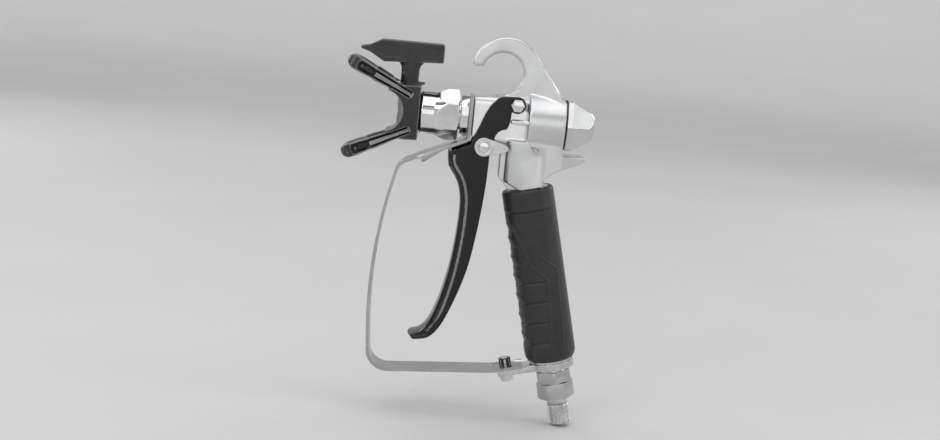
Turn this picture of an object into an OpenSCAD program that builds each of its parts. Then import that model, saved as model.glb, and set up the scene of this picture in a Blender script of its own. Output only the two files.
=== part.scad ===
// Airless paint spray gun with hook, trigger guard, reversible spray tip and swivel inlet.
// Millimetres. +X runs back along the barrel and +Z is up.
// The gun is even about Y = 0 but for its lock lever.
// The model's origin is the centre of the hook. Inside the modules the origin is on the bore axis.

/* [Hook] */
// Inside radius of the hanging hook
hook_r = 12.2; // [9:0.1:13]
// Outside radius of the hook
hook_outer_r = 20.4; // [19:0.1:24]
// Thickness of the hook plate
hook_t = 9; // [6:0.5:12]
// Height of the hook's centre over the bore axis
hook_rise = 27.1; // [26.5:0.1:32]
// Distance of the hook's centre in front of the gun's reference plane
hook_ahead = 11.3; // [9:0.1:14]
// Angle of the hook's blunt tip over the level line through its centre
hook_tip_angle = 15; // [5:1:30]
// Height of the hook plate's foot on the housing's back face
hook_foot = 13.3; // [11:0.1:16]

/* [Body] */
// Length of the flat-sided barrel ahead of the housing
barrel_len = 33; // [31:0.1:36]
// Width of the barrel between its flats
barrel_w = 19; // [18:0.1:20]
// Height of the barrel's top over the bore axis
barrel_top = 14; // [13:0.1:14.5]
// Depth of the barrel's underside under the bore axis
barrel_bottom = 11; // [10:0.1:12]
// Edge radius along the barrel's top
barrel_edge_r = 4.5; // [2:0.1:6]
// Place of the housing's front face behind the reference plane
housing_x = 6.2; // [5:0.1:8]
// Radius of the round housing
housing_r = 17; // [16:0.1:19]
// Length of the round housing
housing_len = 21.5; // [20:0.1:25]
// Width of the neck's cheeks
neck_w = 27; // [26:0.1:30]
// Width of the rib down the front of the neck
neck_rib_w = 18; // [14:0.1:18.4]
// Width of the finger rest at its tip
rest_tip_w = 15; // [8:0.5:20]
// Reach of the finger rest behind the housing's back face
rest_reach = 14.6; // [9:0.1:18]

/* [Handle] */
// Lean of the handle from square to the barrel, in degrees
handle_rake = 13.6; // [9:0.1:18]
// Place where the handle's axis meets the bore axis
handle_x = 0.3; // [-1:0.1:3]
// Radius of the handle tube inside the grip
tube_r = 12.4; // [11.5:0.1:13]
// Radius of the handle tube's screwed neck
tube_neck_r = 7.8; // [6.5:0.1:8.2]
// Wall of the handle tube
tube_wall = 3.6; // [2.5:0.1:4.2]
// Depth from the bore axis to the top of the tube's neck
tube_top = 27; // [25:0.1:29]
// Depth from the bore axis to the tube's lower end
tube_bottom = 147.2; // [135:0.1:155]
// Depth from the bore axis to the grip's upper end
grip_top = 40; // [38:0.1:44]
// Height of the grip's lower end over the tube's lower end
grip_lift = 2.7; // [1:0.1:6]
// Radius of the grip
grip_r = 15.5; // [14.5:0.1:17]
// Edge radius of the grip's ends
grip_edge_r = 2; // [1:0.1:2.6]

/* [Trigger] */
// Place of the trigger's pivot in front of the reference plane
pivot_x = -1.2; // [-2:0.1:0]
// Height of the trigger's pivot over the bore axis
pivot_z = 9.9; // [9:0.1:10.5]
// Radius of the pivot bolt
pivot_r = 2.2; // [1.8:0.1:2.6]
// Radius of the trigger's eyes round the pivot
eye_r = 5; // [4.5:0.1:5.6]
// Thickness of the trigger's walls
trigger_wall = 2.5; // [1.5:0.1:3]
// Radius of the trigger's rounded front corners
trigger_corner_r = 5; // [3.5:0.1:7]
// Gap between the trigger and the barrel's flats, each side
trigger_gap = 0.3; // [0.2:0.05:0.6]
// Pull of the trigger, in degrees
trigger_pull = 12; // [6:1:12]

/* [Trigger lock] */
// Place of the lock's shaft in front of the reference plane
lock_x = -18.8; // [-21:0.1:-17]
// Depth of the lock's shaft under the bore axis
lock_drop = 15.8; // [15.4:0.1:18]
// Radius of the lock lever's boss
lock_boss_r = 5.5; // [4.5:0.1:6]
// Length of the lock lever from its shaft to its end
lock_len = 14.3; // [10:0.1:15]
// Thickness of the lock lever's boss
lock_t = 4.2; // [3.6:0.1:6]
// Radius of the lock's shaft
lock_shaft_r = 3; // [2.5:0.1:3.5]

/* [Needle] */
// Radius of the needle
needle_r = 1.6; // [1.2:0.1:2]
// Radius of the needle's ball
ball_r = 2.6; // [2.2:0.1:3]
// Radius of the two push pins
push_r = 1.5; // [1.2:0.1:1.8]
// Thickness of the yoke
yoke_t = 3; // [2:0.1:4]
// Radius of the needle's return spring
spring_r = 5.6; // [4.5:0.1:6.5]
// Radial thickness of the return spring
spring_wire = 1.4; // [0.8:0.1:2]
// Travel of the needle for one degree of trigger pull
needle_per_degree = 0.18; // [0.17:0.01:0.2]

/* [Rear cap] */
// Width of the rear cap across its flats
cap_flats = 28.6; // [27:0.1:30]
// Length of the rear cap behind its seat
cap_len = 16.3; // [14:0.1:20]
// Length of the rear cap's full hexagon
cap_hex_len = 4.6; // [3:0.1:6]
// Radius of the rear cap's end face
cap_end_r = 7.5; // [6:0.1:9]
// Width of the groove between the housing and the rear cap
cap_groove = 1; // [0.6:0.1:1.5]
// Depth of the spring's bore in the rear cap
cap_bore_len = 9.6; // [8:0.1:12]

/* [Outlet] */
// Radius of the outlet fitting's thread
outlet_r = 8.7; // [8:0.1:9.2]
// Radius of the outlet fitting's screwed end in the body
outlet_screw_r = 7.6; // [6.8:0.1:8]
// Width of the outlet fitting's hexagon across its flats
outlet_flats = 20.8; // [20:0.1:23]
// Length of the outlet fitting's hexagon
outlet_hex_len = 4.8; // [3.5:0.1:6]
// Depth of the outlet's seat in the barrel
seat_depth = 9.6; // [9:0.1:12]
// Radius of the valve seat
seat_r = 5.6; // [5:0.1:6.2]

/* [Retaining nut] */
// Width of the retaining nut across its flats
nut_flats = 26.6; // [25.6:0.1:28]
// Radius of the retaining nut's round nose
nut_nose_r = 12.9; // [12.6:0.1:13.2]
// Length of the retaining nut
nut_len = 22.7; // [21:0.1:26]
// Length of the retaining nut's round nose
nut_nose_len = 8.2; // [6:0.1:9]
// Length of the cone from the nose to the hexagon's corners
nut_cone_len = 7.7; // [5:0.1:9]
// Length of the retaining nut's thread
nut_thread_len = 10.4; // [8:0.1:12]

/* [Tip guard] */
// Half of the height of the tip guard's block
head_h = 15.8; // [14.5:0.1:18]
// Length of the tip guard's block along the spray's axis
head_len = 10.8; // [10:0.1:14]
// Radius of the hollow in the tip guard's front
arc_r = 12.4; // [11.5:0.1:14]
// Width of the tip guard's block
head_w = 26; // [24:0.5:30]
// Width of each wing
wing_w = 22; // [18:0.5:26]
// Length of each wing
wing_len = 37; // [32:0.5:42]
// Thickness of each wing
wing_t = 5.6; // [3.5:0.1:6]
// Spread of each wing from the spray's axis, in degrees
wing_angle = 25; // [20:0.5:28]
// Length of the slot in each wing
slot_len = 13; // [10:0.5:15]
// Width of the slot in each wing
slot_w = 9; // [6:0.5:11]
// Radius of the spigot that the retaining nut holds
spigot_r = 11; // [10.4:0.1:11.2]

/* [Spray tip] */
// Radius of the spray tip's barrel
tip_r = 5.9; // [5.4:0.1:6.2]
// Radius of the hard nozzle
nozzle_r = 2.6; // [1.8:0.1:3.2]
// Radius of the seal behind the tip
saddle_r = 6.2; // [5:0.1:7]
// Length of the spray tip's T handle
tip_handle_len = 49.2; // [44:0.1:54]
// Reach of the T handle behind the tip's axis
tip_handle_back = 19.2; // [16:0.1:21]
// Thickness of the spray tip's T handle
tip_handle_t = 10; // [8:0.5:12]
// Height of the T handle's underside over the bore axis
bar_low = 27.9; // [27:0.1:31]
// Height of the T handle's top over the bore axis
bar_high = 40.9; // [38:0.1:44]

/* [Trigger guard] */
// Thickness of the trigger guard's strip
guard_t = 1.8; // [1.4:0.1:2.2]
// Width of the trigger guard's upper plate
guard_plate_w = 25; // [24.8:0.1:28]
// Width of the trigger guard's strip
guard_w = 18; // [14:0.5:22]
// Forward reach of the trigger guard's bulge from the reference plane
guard_reach = 81.8; // [78:0.1:86]
// Height of the trigger guard's front lower corner above the line of its lower end
guard_lift = 12.8; // [10:0.1:16]
// Height of the turned-down lips on the upper plate
guard_lip = 3; // [1.5:0.1:4]

/* [Lower bracket] */
// Thickness of the lower bracket's ring
bracket_t = 4.2; // [3:0.1:5.5]
// Outside radius of the lower bracket's ring
bracket_r = 13.3; // [12.6:0.1:17]
// Depth of the step in the bracket's tongue for the guard's strip
bracket_step = 0.9; // [0.4:0.1:1.6]
// Reach of the lower bracket from the handle's axis to its screw
bracket_reach = 28.1; // [25:0.1:31]
// Width of the lower bracket's tongue
bracket_w = 16; // [12:0.5:20]
// Radius of the guard screw
screw_r = 2; // [1.5:0.1:2.5]
// Height of the guard screw's head
screw_head_h = 4.6; // [3:0.1:6]
// Height of the guard screw's ribbed nut
guard_nut_h = 5.5; // [4:0.1:8]

/* [Inlet] */
// Width of both inlet hexagons across their flats
inlet_flats = 20; // [19:0.1:21]
// Radius of the collar over the end fitting's hexagon
end_collar_r = 9.6; // [9.2:0.1:10.5]
// Length of that collar
end_collar_len = 1.7; // [0.8:0.1:3]
// Length of the end fitting's hexagon
end_hex_len = 7.2; // [6:0.1:10]
// Length of the end fitting's screwed end in the handle
end_screw_len = 12; // [9:0.1:15]
// Length of the swivel's hexagon
swivel_hex_len = 9.6; // [7:0.1:12]
// Radius of the swivel's plug
swivel_plug_r = 6; // [5.4:0.1:6.6]
// Radius of the polished neck over the hose thread
hose_neck_r = 6.2; // [5.6:0.1:6.8]
// Length of the polished neck
hose_neck_len = 4.6; // [2:0.1:7]
// Radius of the hose thread
hose_r = 6.9; // [6.2:0.1:8]
// Length of the hose thread
hose_len = 12.1; // [10:0.1:16]

/* [Filter] */
// Radius of the filter screen
filter_r = 6.4; // [5:0.1:7.4]
// Length of the spring under the filter screen
filter_spring_len = 9.7; // [6:0.1:14]

/* [Fits] */
// Radial clearance of pieces that are screwed or pushed together
seat_gap = 0.05; // [0.02:0.01:0.1]
// Radial clearance of shafts that turn or slide
run_gap = 0.05; // [0.02:0.01:0.1]
// Clearance between neighbouring pieces face to face
face_gap = 0.3; // [0.2:0.05:0.5]

/* [Hidden] */
$fn = 64;
overrun = 1;
through = 100;
fluid_r = 4.6;
passage_r = 3;
edge_cut = 0.8;
slack = 0.1;

// Stations along the barrel
front_x = housing_x - barrel_len;
back_x = housing_x + housing_len;
cap_x = back_x + cap_groove;
cap_stub = 2.6;
needle_travel = needle_per_degree * trigger_pull;
yoke_play = 1.6;
yoke_room = 1.4;
yoke_edge = 0.4;
arm_heel = 3.4;
push_y = barrel_w / 2 + push_r + slack;
yoke_r = push_y + push_r + yoke_edge;
cavity_r = yoke_r + face_gap;
cavity_x = back_x - cap_stub - yoke_play - yoke_t - needle_travel - yoke_room;
yoke_x = cavity_x + yoke_play;
push_tip_x = pivot_x - arm_heel + face_gap;
packing_r = 6.4;
packing_x = 6.8;
packing_len = 5;

// Valve seat, ball and gasket at the bottom of the outlet's bore
seat_x = front_x + seat_depth;
gasket_t = 2;
seat_len = 3;
seat_hole_r = 1.2;
ball_proud = 0.8;
ball_hole_share = 0.9;
ball_x = seat_x - gasket_t + ball_r * ball_proud;

// Spray head, each station ahead of the last
nut_gap = 1;
head_gap = 0.7;
tip_inset = 7.4;
tip_cover = 2.3;
plate_x = front_x - face_gap - guard_t;
hex_front_x = plate_x - face_gap - outlet_hex_len;
nut_back_x = hex_front_x - nut_gap;
nut_front_x = nut_back_x - nut_len;
outlet_end_x = nut_back_x - nut_thread_len;
collar_ring_t = 1.4;
spigot_end_x = outlet_end_x - collar_ring_t - 2 * face_gap;
head_x = nut_front_x - head_gap;
block_x = head_x - head_len;
tip_x = head_x - tip_inset;
arc_x = tip_x - tip_cover - arc_r;
spray_r = 4.4;
seal_len = 2;

// Spray tip's handle
stem_z = head_h + face_gap;
tip_stem_step = 0.6;
tip_stem_r = tip_r - tip_stem_step;
tip_tang_r = 3.6;
tip_tang_len = 8;
tab_len = 9.2;
tab_w = 5;
tab_t = 1.6;
bar_back = tip_x + tip_handle_back;
bar_front = bar_back - tip_handle_len;

// Trigger's walls, and its finger piece's front and back edges from the top to the tip
trigger_in = barrel_w / 2 + trigger_gap;
trigger_out = trigger_in + trigger_wall;
bush_r = 3.4;
bolt_head_h = 2.8;
bolt_head_flats = 7;
trigger_front = [[-39.5, -20.6], [-38.4, -29.2], [-32.4, -38.5], [-29.8, -50], [-30.1, -68], [-32.5, -90],
    [-36.8, -110], [-42, -124], [-47.5, -130.8], [-54, -133.2]];
trigger_back = [[-14.9, -19.2], [-15, -28], [-15.4, -39], [-16.4, -52], [-18.4, -70], [-21.8, -90.5],
    [-28.2, -111], [-35.3, -127], [-42.5, -133.3], [-52.8, -135.3]];

// Trigger lock, whose lever clears the neck's cheeks
lock_in = trigger_out + face_gap;
lock_arm_in = neck_w / 2 + 2 * face_gap;
lock_arm_step = 0.4;
lock_arm_t = lock_in + lock_t - lock_arm_in - lock_arm_step;
lock_plate_t = 1;
lock_screw_r = 1.2;
lock_screw_len = 7;

// Depths along the handle's axis
bore_r = tube_r - tube_wall;
shoulder_s = grip_top + face_gap;
bore_top_s = shoulder_s + tube_wall;
grip_bottom = tube_bottom - grip_lift;
ring_bottom_s = tube_bottom + bracket_t;
end_hex_s = ring_bottom_s + end_collar_len;
swivel_s = end_hex_s + end_hex_len + face_gap;
hose_s = swivel_s + swivel_hex_len;
thread_s = hose_s + hose_neck_len;
stem_end_s = thread_s + hose_len;
end_screw_s = tube_bottom - end_screw_len;
plug_len = 13;
plug_s = swivel_s - face_gap - plug_len;
plug_step = 0.8;
stem_r = swivel_plug_r - plug_step;
seal_groove_inset = 4;
seal_groove_s = plug_s + seal_groove_inset;
seal_groove_len = 2;
seal_groove_depth = 1.4;
seal_groove_r = swivel_plug_r - seal_groove_depth;
inlet_corner_r = inlet_flats / 2 / cos(30);

// Filter inside the handle tube
filter_cap_t = 2.4;
filter_s = bore_top_s + filter_cap_t + 2 * face_gap;
filter_end_s = end_screw_s - filter_spring_len - 2 * face_gap;
filter_len = filter_end_s - filter_s;

// Trigger guard's middle line, from the top of its collar plate to its end on the bracket
strip_top_s = tube_bottom + bracket_step - guard_t;
strip_mid_s = strip_top_s + guard_t / 2;
guard_mid_x = plate_x + guard_t / 2;
guard_top_z = 13;
guard_slope = 24.3;
guard_knee = [14 - guard_reach, -30.8];
guard_low_x = 6 - guard_reach;
guard_low = [guard_low_x, strip_height(guard_low_x) + guard_lift];
guard_bulge_share = 0.445;
guard_bulge_z = guard_knee[1] + guard_bulge_share * (guard_low[1] - guard_knee[1]);
strip_start_gap = 8;
strip_end_gap = 4.7;
strip_end = bracket_r + strip_end_gap;
guard_path = [[guard_mid_x, guard_top_z], [guard_mid_x, on_plate(guard_mid_x)], guard_knee,
    [-guard_reach, guard_bulge_z], guard_low, on_strip(bracket_reach + strip_start_gap), on_strip(strip_end)];
guard_bends = [0, 3, 9, 300, 12, 40, 0];
screw_head_flats = 7;
screw_shank = bracket_t - bracket_step + guard_t + guard_nut_h;

// ---------- general shapes ----------

// Draws its shapes in the model's frame
module gun() {
    translate([hook_ahead, 0, -hook_rise]) children();
}

// Cylinder along +X
module rod_x(x, len, r) {
    translate([x, 0, 0]) rotate([0, 90, 0]) cylinder(h = len, r = r);
}

// Cone along +X
module cone_x(x, len, r, r_end) {
    translate([x, 0, 0]) rotate([0, 90, 0]) cylinder(h = len, r1 = r, r2 = r_end);
}

// Ring along +X
module ring_x(x, len, r, r_in) {
    difference() {
        rod_x(x, len, r);
        rod_x(x - overrun, len + 2 * overrun, r_in);
    }
}

// Hexagonal bar along +X with two flats, or two corners, towards the sides
module hex_x(x, len, flats, corners_out = false) {
    translate([x, 0, 0]) rotate([0, 90, 0]) rotate([0, 0, corners_out ? 30 : 0])
        cylinder(h = len, r = flats / 2 / cos(30), $fn = 6);
}

// Solid of revolution about the X axis from points [x, r]
module turned_x(points) {
    rotate([0, 90, 0]) rotate_extrude() polygon([for (p = points) [p[1], p[0]]]);
}

// Side outline in X and Z given a width in Y
module side(width, y = 0) {
    translate([0, y, 0]) rotate([90, 0, 0]) linear_extrude(height = width, center = true) children();
}

// The same on both sides of the gun
module both_sides() {
    children();
    mirror([0, 1, 0]) children();
}

// Cylinder across the gun, centred at y
module rod_y(x, z, len, r, y = 0) {
    translate([x, y, z]) rotate([90, 0, 0]) cylinder(h = len, r = r, center = true);
}

// Frame on the handle's axis, s below the bore axis, with Z up the handle
module on_handle(s) {
    translate([handle_x, 0, 0]) rotate([0, -handle_rake, 0]) translate([0, 0, -s]) children();
}

// Ring about the handle's axis whose top is at depth s
module handle_ring(s, len, r, r_in) {
    on_handle(s + len) difference() {
        cylinder(h = len, r = r);
        translate([0, 0, -overrun]) cylinder(h = len + 2 * overrun, r = r_in);
    }
}

// Point of the guard strip's middle line on the bracket, out in front of the handle's axis
function on_strip(out) =
    [handle_x + strip_mid_s * sin(handle_rake) - out * cos(handle_rake),
        -strip_mid_s * cos(handle_rake) - out * sin(handle_rake)];

// Height of that line at x, drawn on past the strip's end
function strip_height(x) =
    -strip_mid_s / cos(handle_rake) - (handle_x - x) * tan(handle_rake);

// Height of the upper plate's middle line at x
function on_plate(x) = guard_knee[1] - tan(guard_slope) * (guard_knee[0] - x);

// Unit vector of v, and the vector square to it on its left
function unit(v) = v / norm(v);
function left_of(v) = [-v[1], v[0]];

// Catmull-Rom curve through points p, n steps to each span
function curve_at(p, i, t) =
    let (a = p[max(i - 1, 0)], b = p[i], c = p[i + 1], d = p[min(i + 2, len(p) - 1)])
    0.5 * (2 * b + (c - a) * t + (2 * a - 5 * b + 4 * c - d) * t * t + (3 * b - a - 3 * c + d) * t * t * t);
function curve(p, n) = concat(
    [for (i = [0 : len(p) - 2]) for (j = [0 : n - 1]) curve_at(p, i, j / n)], [p[len(p) - 1]]);

// Corner b of a polyline rounded to radius r, as points
function corner_points(a, b, c, r, n = 7) =
    let (u = unit(a - b), v = unit(c - b), half = acos(u * v) / 2,
        back = min(r / tan(half), 0.85 * min(norm(a - b), norm(c - b))), fit_r = back * tan(half),
        m = b + unit(u + v) * fit_r / sin(half), start = b + u * back - m, stop = b + v * back - m,
        turn = 180 - 2 * half, way = start[0] * stop[1] - start[1] * stop[0] > 0 ? 1 : -1)
    [for (k = [0 : n]) let (w = way * turn * k / n)
        m + [start[0] * cos(w) - start[1] * sin(w), start[0] * sin(w) + start[1] * cos(w)]];

// Polyline p with each inner corner i rounded to radius r[i]
function rounded(p, r) = concat([p[0]],
    [for (i = [1 : len(p) - 2]) for (q = corner_points(p[i - 1], p[i], p[i + 1], r[i])) q],
    [p[len(p) - 1]]);

// Mitred normal of a polyline at each of its points, towards its left
function normals(p) = [for (i = [0 : len(p) - 1])
    let (u = i > 0 ? unit(p[i] - p[i - 1]) : unit(p[1] - p[0]),
        v = i < len(p) - 1 ? unit(p[i + 1] - p[i]) : u, m = unit(u + v))
    left_of(m) / (m * u)];

// Outline of a band of thickness t about a polyline
function band(p, t) = let (n = normals(p), last = len(p) - 1)
    concat([for (i = [0 : last]) p[i] + n[i] * t / 2], [for (i = [last : -1 : 0]) p[i] - n[i] * t / 2]);

// ---------- body ----------

// Side outline of the hook and of the plate that carries it
module hook_outline() {
    mid = [-hook_ahead, hook_rise];
    outer = mid + [1.9, 1.4];
    leave = 36;
    difference() {
        union() {
            translate(outer) circle(r = hook_outer_r);
            polygon([outer, outer + hook_outer_r * [cos(leave), sin(leave)], [back_x, hook_foot], [back_x, 0],
                [mid[0] + 2, 0]]);
        }
        translate(mid) circle(r = hook_r, $fn = 96);
        polygon([mid, mid + 40 * [-cos(hook_tip_angle), sin(hook_tip_angle)], mid + [-40, -30],
            mid + [2, -30], mid + [2, -hook_r]]);
    }
}

// Barrel between its flats, its top edges rounded
module barrel() {
    half = barrel_w / 2;
    edge = barrel_edge_r;
    chin = barrel_bottom + 3;
    len = barrel_len + overrun;
    intersection() {
        side(barrel_w) polygon([[front_x, -barrel_bottom], [front_x, barrel_top - 1.6], [-14, barrel_top],
            [front_x + len, barrel_top], [front_x + len, -chin], [-11.5, -chin], [-15.3, -barrel_bottom]]);
        union() {
            translate([front_x, -half, -chin]) cube([len, barrel_w, barrel_top + chin - edge]);
            translate([front_x, edge - half, 0]) cube([len, barrel_w - 2 * edge, barrel_top + overrun]);
            both_sides() translate([0, half - edge, barrel_top - edge]) rod_x(front_x, len, edge);
        }
    }
}

// Round housing, its upper rear corner cut back along the hook plate
module housing() {
    cut_x = back_x - (housing_r - hook_foot) * 0.76;
    intersection() {
        rod_x(housing_x, housing_len, housing_r);
        side(through) polygon([[housing_x, -housing_r], [housing_x, housing_r], [cut_x, housing_r],
            [back_x, hook_foot], [back_x, -housing_r]]);
    }
}

// Side outline of the neck's cheeks with the finger rest
module neck_outline() {
    rest_z = -housing_r - 0.9;
    tip = [back_x + rest_reach, rest_z - 0.6];
    polygon([[-4.7, -barrel_bottom], [-4.7, -35.2], [1, -38], [5.2, -grip_top], [15.4, -grip_top],
        [17.4, -38.6], [17.9, -34.3], [20.4, -30.8], [24.6, -27.6], [31.3, -24.8], [38.1, -22.8],
        tip + [-0.8, -1.6], tip, tip + [-1.2, 0.8], [back_x, rest_z], [back_x, -8], [housing_x + 1, -4],
        [housing_x, -barrel_bottom]]);
}

// Side outline of the rib down the neck's front
module rib_outline() {
    polygon([[-8.7, 0], [-8.6, -34], [-5.9, -36], [-1.9, -grip_top - 0.6], [8, -grip_top - 0.6], [8, 0]]);
}

// Slab that narrows the finger rest towards its tip
module rest_taper() {
    half = neck_w / 2;
    rest_x = back_x + rest_reach;
    linear_extrude(height = through, center = true)
        polygon([[-20, -half], [14, -half], [back_x, 1 - half], [rest_x, -rest_tip_w / 2],
            [rest_x + 1, 3 - rest_tip_w / 2], [rest_x + 1, rest_tip_w / 2 - 3], [rest_x, rest_tip_w / 2],
            [back_x, half - 1], [14, half], [-20, half]]);
}

// Room beside the barrel's flats for the trigger's arms and the push pins
module flat_room() {
    floor_gap = 0.2;
    translate([front_x - overrun, barrel_w / 2, -barrel_bottom + floor_gap])
        cube([barrel_len + overrun, neck_w, barrel_top + barrel_bottom + overrun]);
}

module gun_body() {
    cut_w = 60;
    cut_h = 10;
    color("silver") gun() difference() {
        union() {
            side(hook_t) hook_outline();
            barrel();
            housing();
            intersection() {
                side(neck_w) neck_outline();
                rest_taper();
            }
            side(neck_rib_w) rib_outline();
        }
        on_handle(grip_top + overrun) cylinder(h = grip_top + overrun - tube_top, r = tube_neck_r + seat_gap);
        on_handle(tube_top + overrun) cylinder(h = tube_top, r = fluid_r);
        on_handle(grip_top + cut_h) translate([-cut_w / 2, -cut_w / 2, 0]) cube([cut_w, cut_w, cut_h]);
        rod_x(front_x - overrun, packing_x - front_x + overrun, fluid_r);
        rod_x(front_x - overrun, seat_depth + overrun, outlet_screw_r + seat_gap);
        rod_x(packing_x, back_x, packing_r + seat_gap);
        rod_x(cavity_x, back_x, cavity_r);
        both_sides() translate([0, push_y, 0]) rod_x(housing_x - overrun, back_x, push_r + run_gap);
        both_sides() flat_room();
        rod_y(pivot_x, pivot_z, barrel_w * 2, pivot_r + seat_gap);
    }
}

// ---------- rear cap and needle ----------

module rear_cap() {
    seat_len = cap_stub + cap_groove;
    corner_r = cap_flats / 2 / cos(30);
    taper = corner_r - cap_end_r;
    color("lightgray") gun() difference() {
        union() {
            intersection() {
                hex_x(cap_x, cap_len, cap_flats, true);
                turned_x([[cap_x, 0], [cap_x, corner_r - edge_cut], [cap_x + edge_cut, corner_r],
                    [cap_x + cap_hex_len, corner_r], [cap_x + cap_len * 0.55, cap_end_r + 0.75 * taper],
                    [cap_x + cap_len * 0.8, cap_end_r + 0.39 * taper], [cap_x + cap_len, cap_end_r],
                    [cap_x + cap_len, 0]]);
            }
            rod_x(back_x - cap_stub, seat_len + overrun, cavity_r - seat_gap);
        }
        rod_x(back_x - cap_stub - overrun, seat_len + cap_bore_len, spring_r + face_gap);
    }
}

module rear_cap_seal() {
    seal_w = 1.6;
    color("dimgray") gun() ring_x(back_x, cap_groove - slack, cavity_r + seal_w, cavity_r);
}

module needle_packing() {
    color("white") gun() ring_x(packing_x, packing_len, packing_r, needle_r + run_gap);
}

module packing_nut() {
    nut_x = packing_x + packing_len;
    color("goldenrod") gun() ring_x(nut_x, cavity_x - nut_x - face_gap, packing_r, needle_r + run_gap);
}

module needle() {
    start = ball_x + ball_r * ball_hole_share;
    color("lightgray") gun() rod_x(start, yoke_x + yoke_t - start, needle_r);
}

module needle_ball() {
    color("gray") gun() difference() {
        translate([ball_x, 0, 0]) sphere(r = ball_r);
        rod_x(ball_x + ball_r * ball_hole_share, ball_r, needle_r);
    }
}

module needle_yoke() {
    color("gray") gun() difference() {
        rod_x(yoke_x, yoke_t, yoke_r);
        rod_x(yoke_x - overrun, yoke_t + 2 * overrun, needle_r + seat_gap);
        both_sides() translate([0, push_y, 0])
            rod_x(yoke_x - overrun, yoke_t + 2 * overrun, push_r + seat_gap);
    }
}

module push_pins() {
    start = push_tip_x + push_r;
    color("lightgray") gun() both_sides() translate([0, push_y, 0]) {
        rod_x(start, yoke_x + yoke_t - start, push_r);
        translate([start, 0, 0]) sphere(r = push_r);
    }
}

module needle_spring() {
    start = yoke_x + yoke_t;
    color("gray") gun() ring_x(start, cap_x + cap_bore_len - overrun - start - face_gap, spring_r,
        spring_r - spring_wire);
}

// ---------- outlet ----------

module valve_seat() {
    start = seat_x - gasket_t - seat_len;
    color("dimgray") gun() difference() {
        rod_x(start, seat_len, seat_r);
        rod_x(start - overrun, seat_len + 2 * overrun, seat_hole_r);
        translate([ball_x, 0, 0]) sphere(r = ball_r + slack);
    }
}

module outlet_gasket() {
    color("dimgray") gun() ring_x(seat_x - gasket_t, gasket_t - slack, outlet_screw_r, fluid_r);
}

module outlet_fitting() {
    screw_end = seat_x - gasket_t;
    color("lightgray") gun() difference() {
        union() {
            rod_x(hex_front_x, screw_end - hex_front_x, outlet_screw_r);
            hex_x(hex_front_x, outlet_hex_len, outlet_flats);
            rod_x(outlet_end_x, hex_front_x - outlet_end_x + overrun, outlet_r);
        }
        rod_x(outlet_end_x - overrun, through, passage_r);
        rod_x(screw_end - seat_len, through, seat_r + seat_gap);
    }
}

// ---------- spray head ----------

module retaining_nut() {
    corner_r = nut_flats / 2 / cos(30);
    nose_x = nut_front_x + nut_nose_len;
    color("gainsboro") gun() difference() {
        intersection() {
            union() {
                hex_x(nose_x, nut_back_x - nose_x, nut_flats);
                rod_x(nut_front_x, nut_nose_len + overrun, nut_nose_r);
            }
            turned_x([[nut_front_x, 0], [nut_front_x, nut_nose_r - edge_cut],
                [nut_front_x + edge_cut, nut_nose_r], [nose_x, nut_nose_r], [nose_x + nut_cone_len, corner_r],
                [nut_back_x - edge_cut, corner_r], [nut_back_x, nut_flats / 2], [nut_back_x, 0]]);
        }
        rod_x(outlet_end_x, through, outlet_r + seat_gap);
        rod_x(nut_front_x - overrun, outlet_end_x - nut_front_x + overrun, spigot_r + run_gap);
    }
}

module guard_collar_ring() {
    color("dimgray") gun() ring_x(outlet_end_x - face_gap - collar_ring_t, collar_ring_t, spigot_r, saddle_r);
}

// One wing of the tip guard in its own frame: X runs out along it, from its root
module wing() {
    round_r = wing_w / 2;
    end_wall = 5;
    slot_x = wing_len - end_wall - slot_len;
    rib_w = slot_w / 2;
    difference() {
        union() {
            translate([0, -round_r, -wing_t / 2]) cube([wing_len - round_r, wing_w, wing_t]);
            translate([wing_len - round_r, 0, -wing_t / 2]) cylinder(h = wing_t, r = round_r);
            translate([0, -rib_w / 2, -wing_t / 2 - edge_cut]) cube([slot_x, rib_w, wing_t + 2 * edge_cut]);
        }
        for (end = [slot_w / 2, slot_len - slot_w / 2])
            translate([slot_x + end, 0, -wing_t]) cylinder(h = 2 * wing_t, r = slot_w / 2);
        translate([slot_x + slot_w / 2, -slot_w / 2, -wing_t]) cube([slot_len - slot_w, slot_w, 2 * wing_t]);
    }
}

// Side outline of the tip guard's block with its hollow front
module head_outline() {
    cheek_len = 8.4;
    cheek_x = block_x - cheek_len;
    difference() {
        polygon([[head_x, -head_h], [head_x, head_h], [block_x - 1, head_h], [cheek_x, arc_r],
            [cheek_x, -arc_r], [block_x - 1, -head_h]]);
        translate([arc_x, 0]) circle(r = arc_r);
    }
}

module tip_guard() {
    wing_z = head_h - wing_t / 2 - face_gap;
    horn_x = block_x - 10;
    horn_len = 8;
    color("dimgray") gun() difference() {
        union() {
            side(head_w) head_outline();
            rod_x(head_x - overrun, spigot_end_x - head_x + overrun, spigot_r);
            for (up = [1, -1])
                translate([block_x, 0, up * wing_z]) rotate([0, -up * wing_angle, 180]) wing();
        }
        translate([tip_x, 0, -through / 2]) cylinder(h = through, r = tip_r + run_gap);
        translate([tip_x, 0, head_h]) cylinder(h = wing_len, r = norm([tab_len, tab_w / 2]) + face_gap);
        rod_x(horn_x - horn_len, through, spray_r);
        cone_x(horn_x, horn_len, 2 * spray_r, spray_r);
        rod_x(tip_x, through, saddle_r + seat_gap);
    }
}

module saddle_seal() {
    start = tip_x + 2;
    color("dimgray") gun() difference() {
        rod_x(start, spigot_end_x - seal_len - start, saddle_r);
        rod_x(tip_x, through, passage_r);
        translate([tip_x, 0, -through / 2]) cylinder(h = through, r = tip_r + run_gap);
    }
}

module tip_seal() {
    color("black") gun() ring_x(spigot_end_x - seal_len, seal_len, saddle_r, passage_r);
}

// ---------- spray tip ----------

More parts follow.
